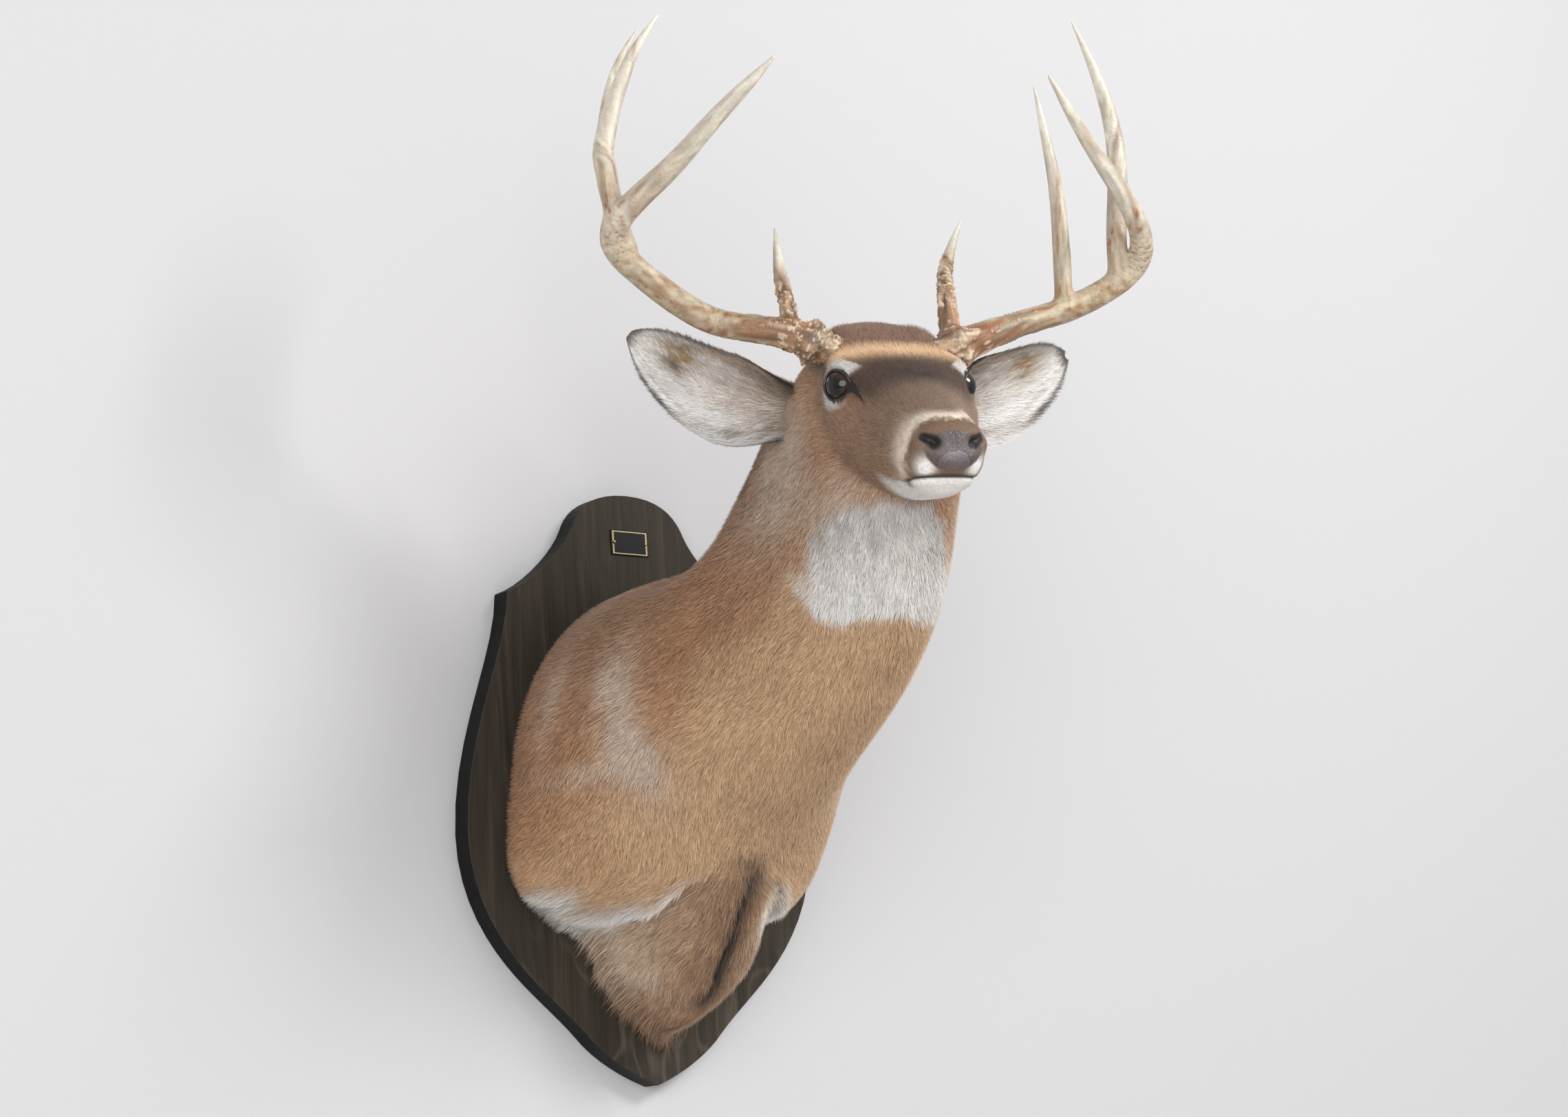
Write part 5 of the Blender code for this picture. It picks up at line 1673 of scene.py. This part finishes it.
low, far, gap = FLOOR_HEIGHT, REACH, WALL_GAP
wall_corners = [(-far, gap, low), (far, gap, low), (far, gap, far), (-far, gap, far)]
floor_corners = [(-far, -far, low), (far, -far, low), (far, far, low), (-far, far, low)]
wall_paint = clear_from_behind(Finish("wall_paint", roughness=0.9))
flat_square("wall", wall_corners, wall_paint, (0.52, 0.515, 0.52))
flat_square("floor", floor_corners, Finish("floor_paint", roughness=0.8), (0.78, 0.77, 0.76))


def area_light(name, place, aim, size, power, colour):
    light = bpy.data.lights.new(name, "AREA")
    light.shape = "DISK"
    light.size = size
    light.energy = power
    light.color = colour
    lamp = show(name, light)
    lamp.location = place
    lamp.rotation_mode = "QUATERNION"
    lamp.rotation_quaternion = (Vector(aim) - Vector(place)).to_track_quat("-Z", "Y")


area_light("key", (1.6, -3.0, 1.9), (0.0, -0.3, 0.1), 1.2, 92.0, (1.0, 0.985, 0.96))
area_light("fill", (-2.5, -3.1, 0.5), (0.0, -0.2, 0.1), 2.6, 76.0, (1.0, 0.99, 0.98))
sky = bpy.data.worlds.new("soft_sky")
sky.use_nodes = True
sky_light = sky.node_tree.nodes["Background"].inputs
sky_light["Color"].default_value = (0.93, 0.95, 1.0, 1.0)
sky_light["Strength"].default_value = 0.68
bpy.context.scene.world = sky
bpy.context.scene.view_settings.view_transform = "Standard"
print("wall, floor, two lamps and sky")

# %% Camera
CAMERA_PLACE = Vector((-2.0400, -2.8128, -0.4532))
CAMERA_RIGHT = Vector((0.785498, -0.615615, -0.063325))
CAMERA_UP = Vector((-0.070091, -0.190163, 0.979247))
CAMERA_LENS, SENSOR_WIDTH = 78.98, 36.0
camera_data = bpy.data.cameras.new("camera")
camera_data.lens = CAMERA_LENS
camera_data.sensor_width = SENSOR_WIDTH
camera = show("camera", camera_data)
turn = Matrix((CAMERA_RIGHT, CAMERA_UP, CAMERA_RIGHT.cross(CAMERA_UP))).transposed()
camera.matrix_world = Matrix.Translation(CAMERA_PLACE) @ turn.to_4x4()
bpy.context.scene.camera = camera
print("camera at", tuple(round(v, 3) for v in CAMERA_PLACE))
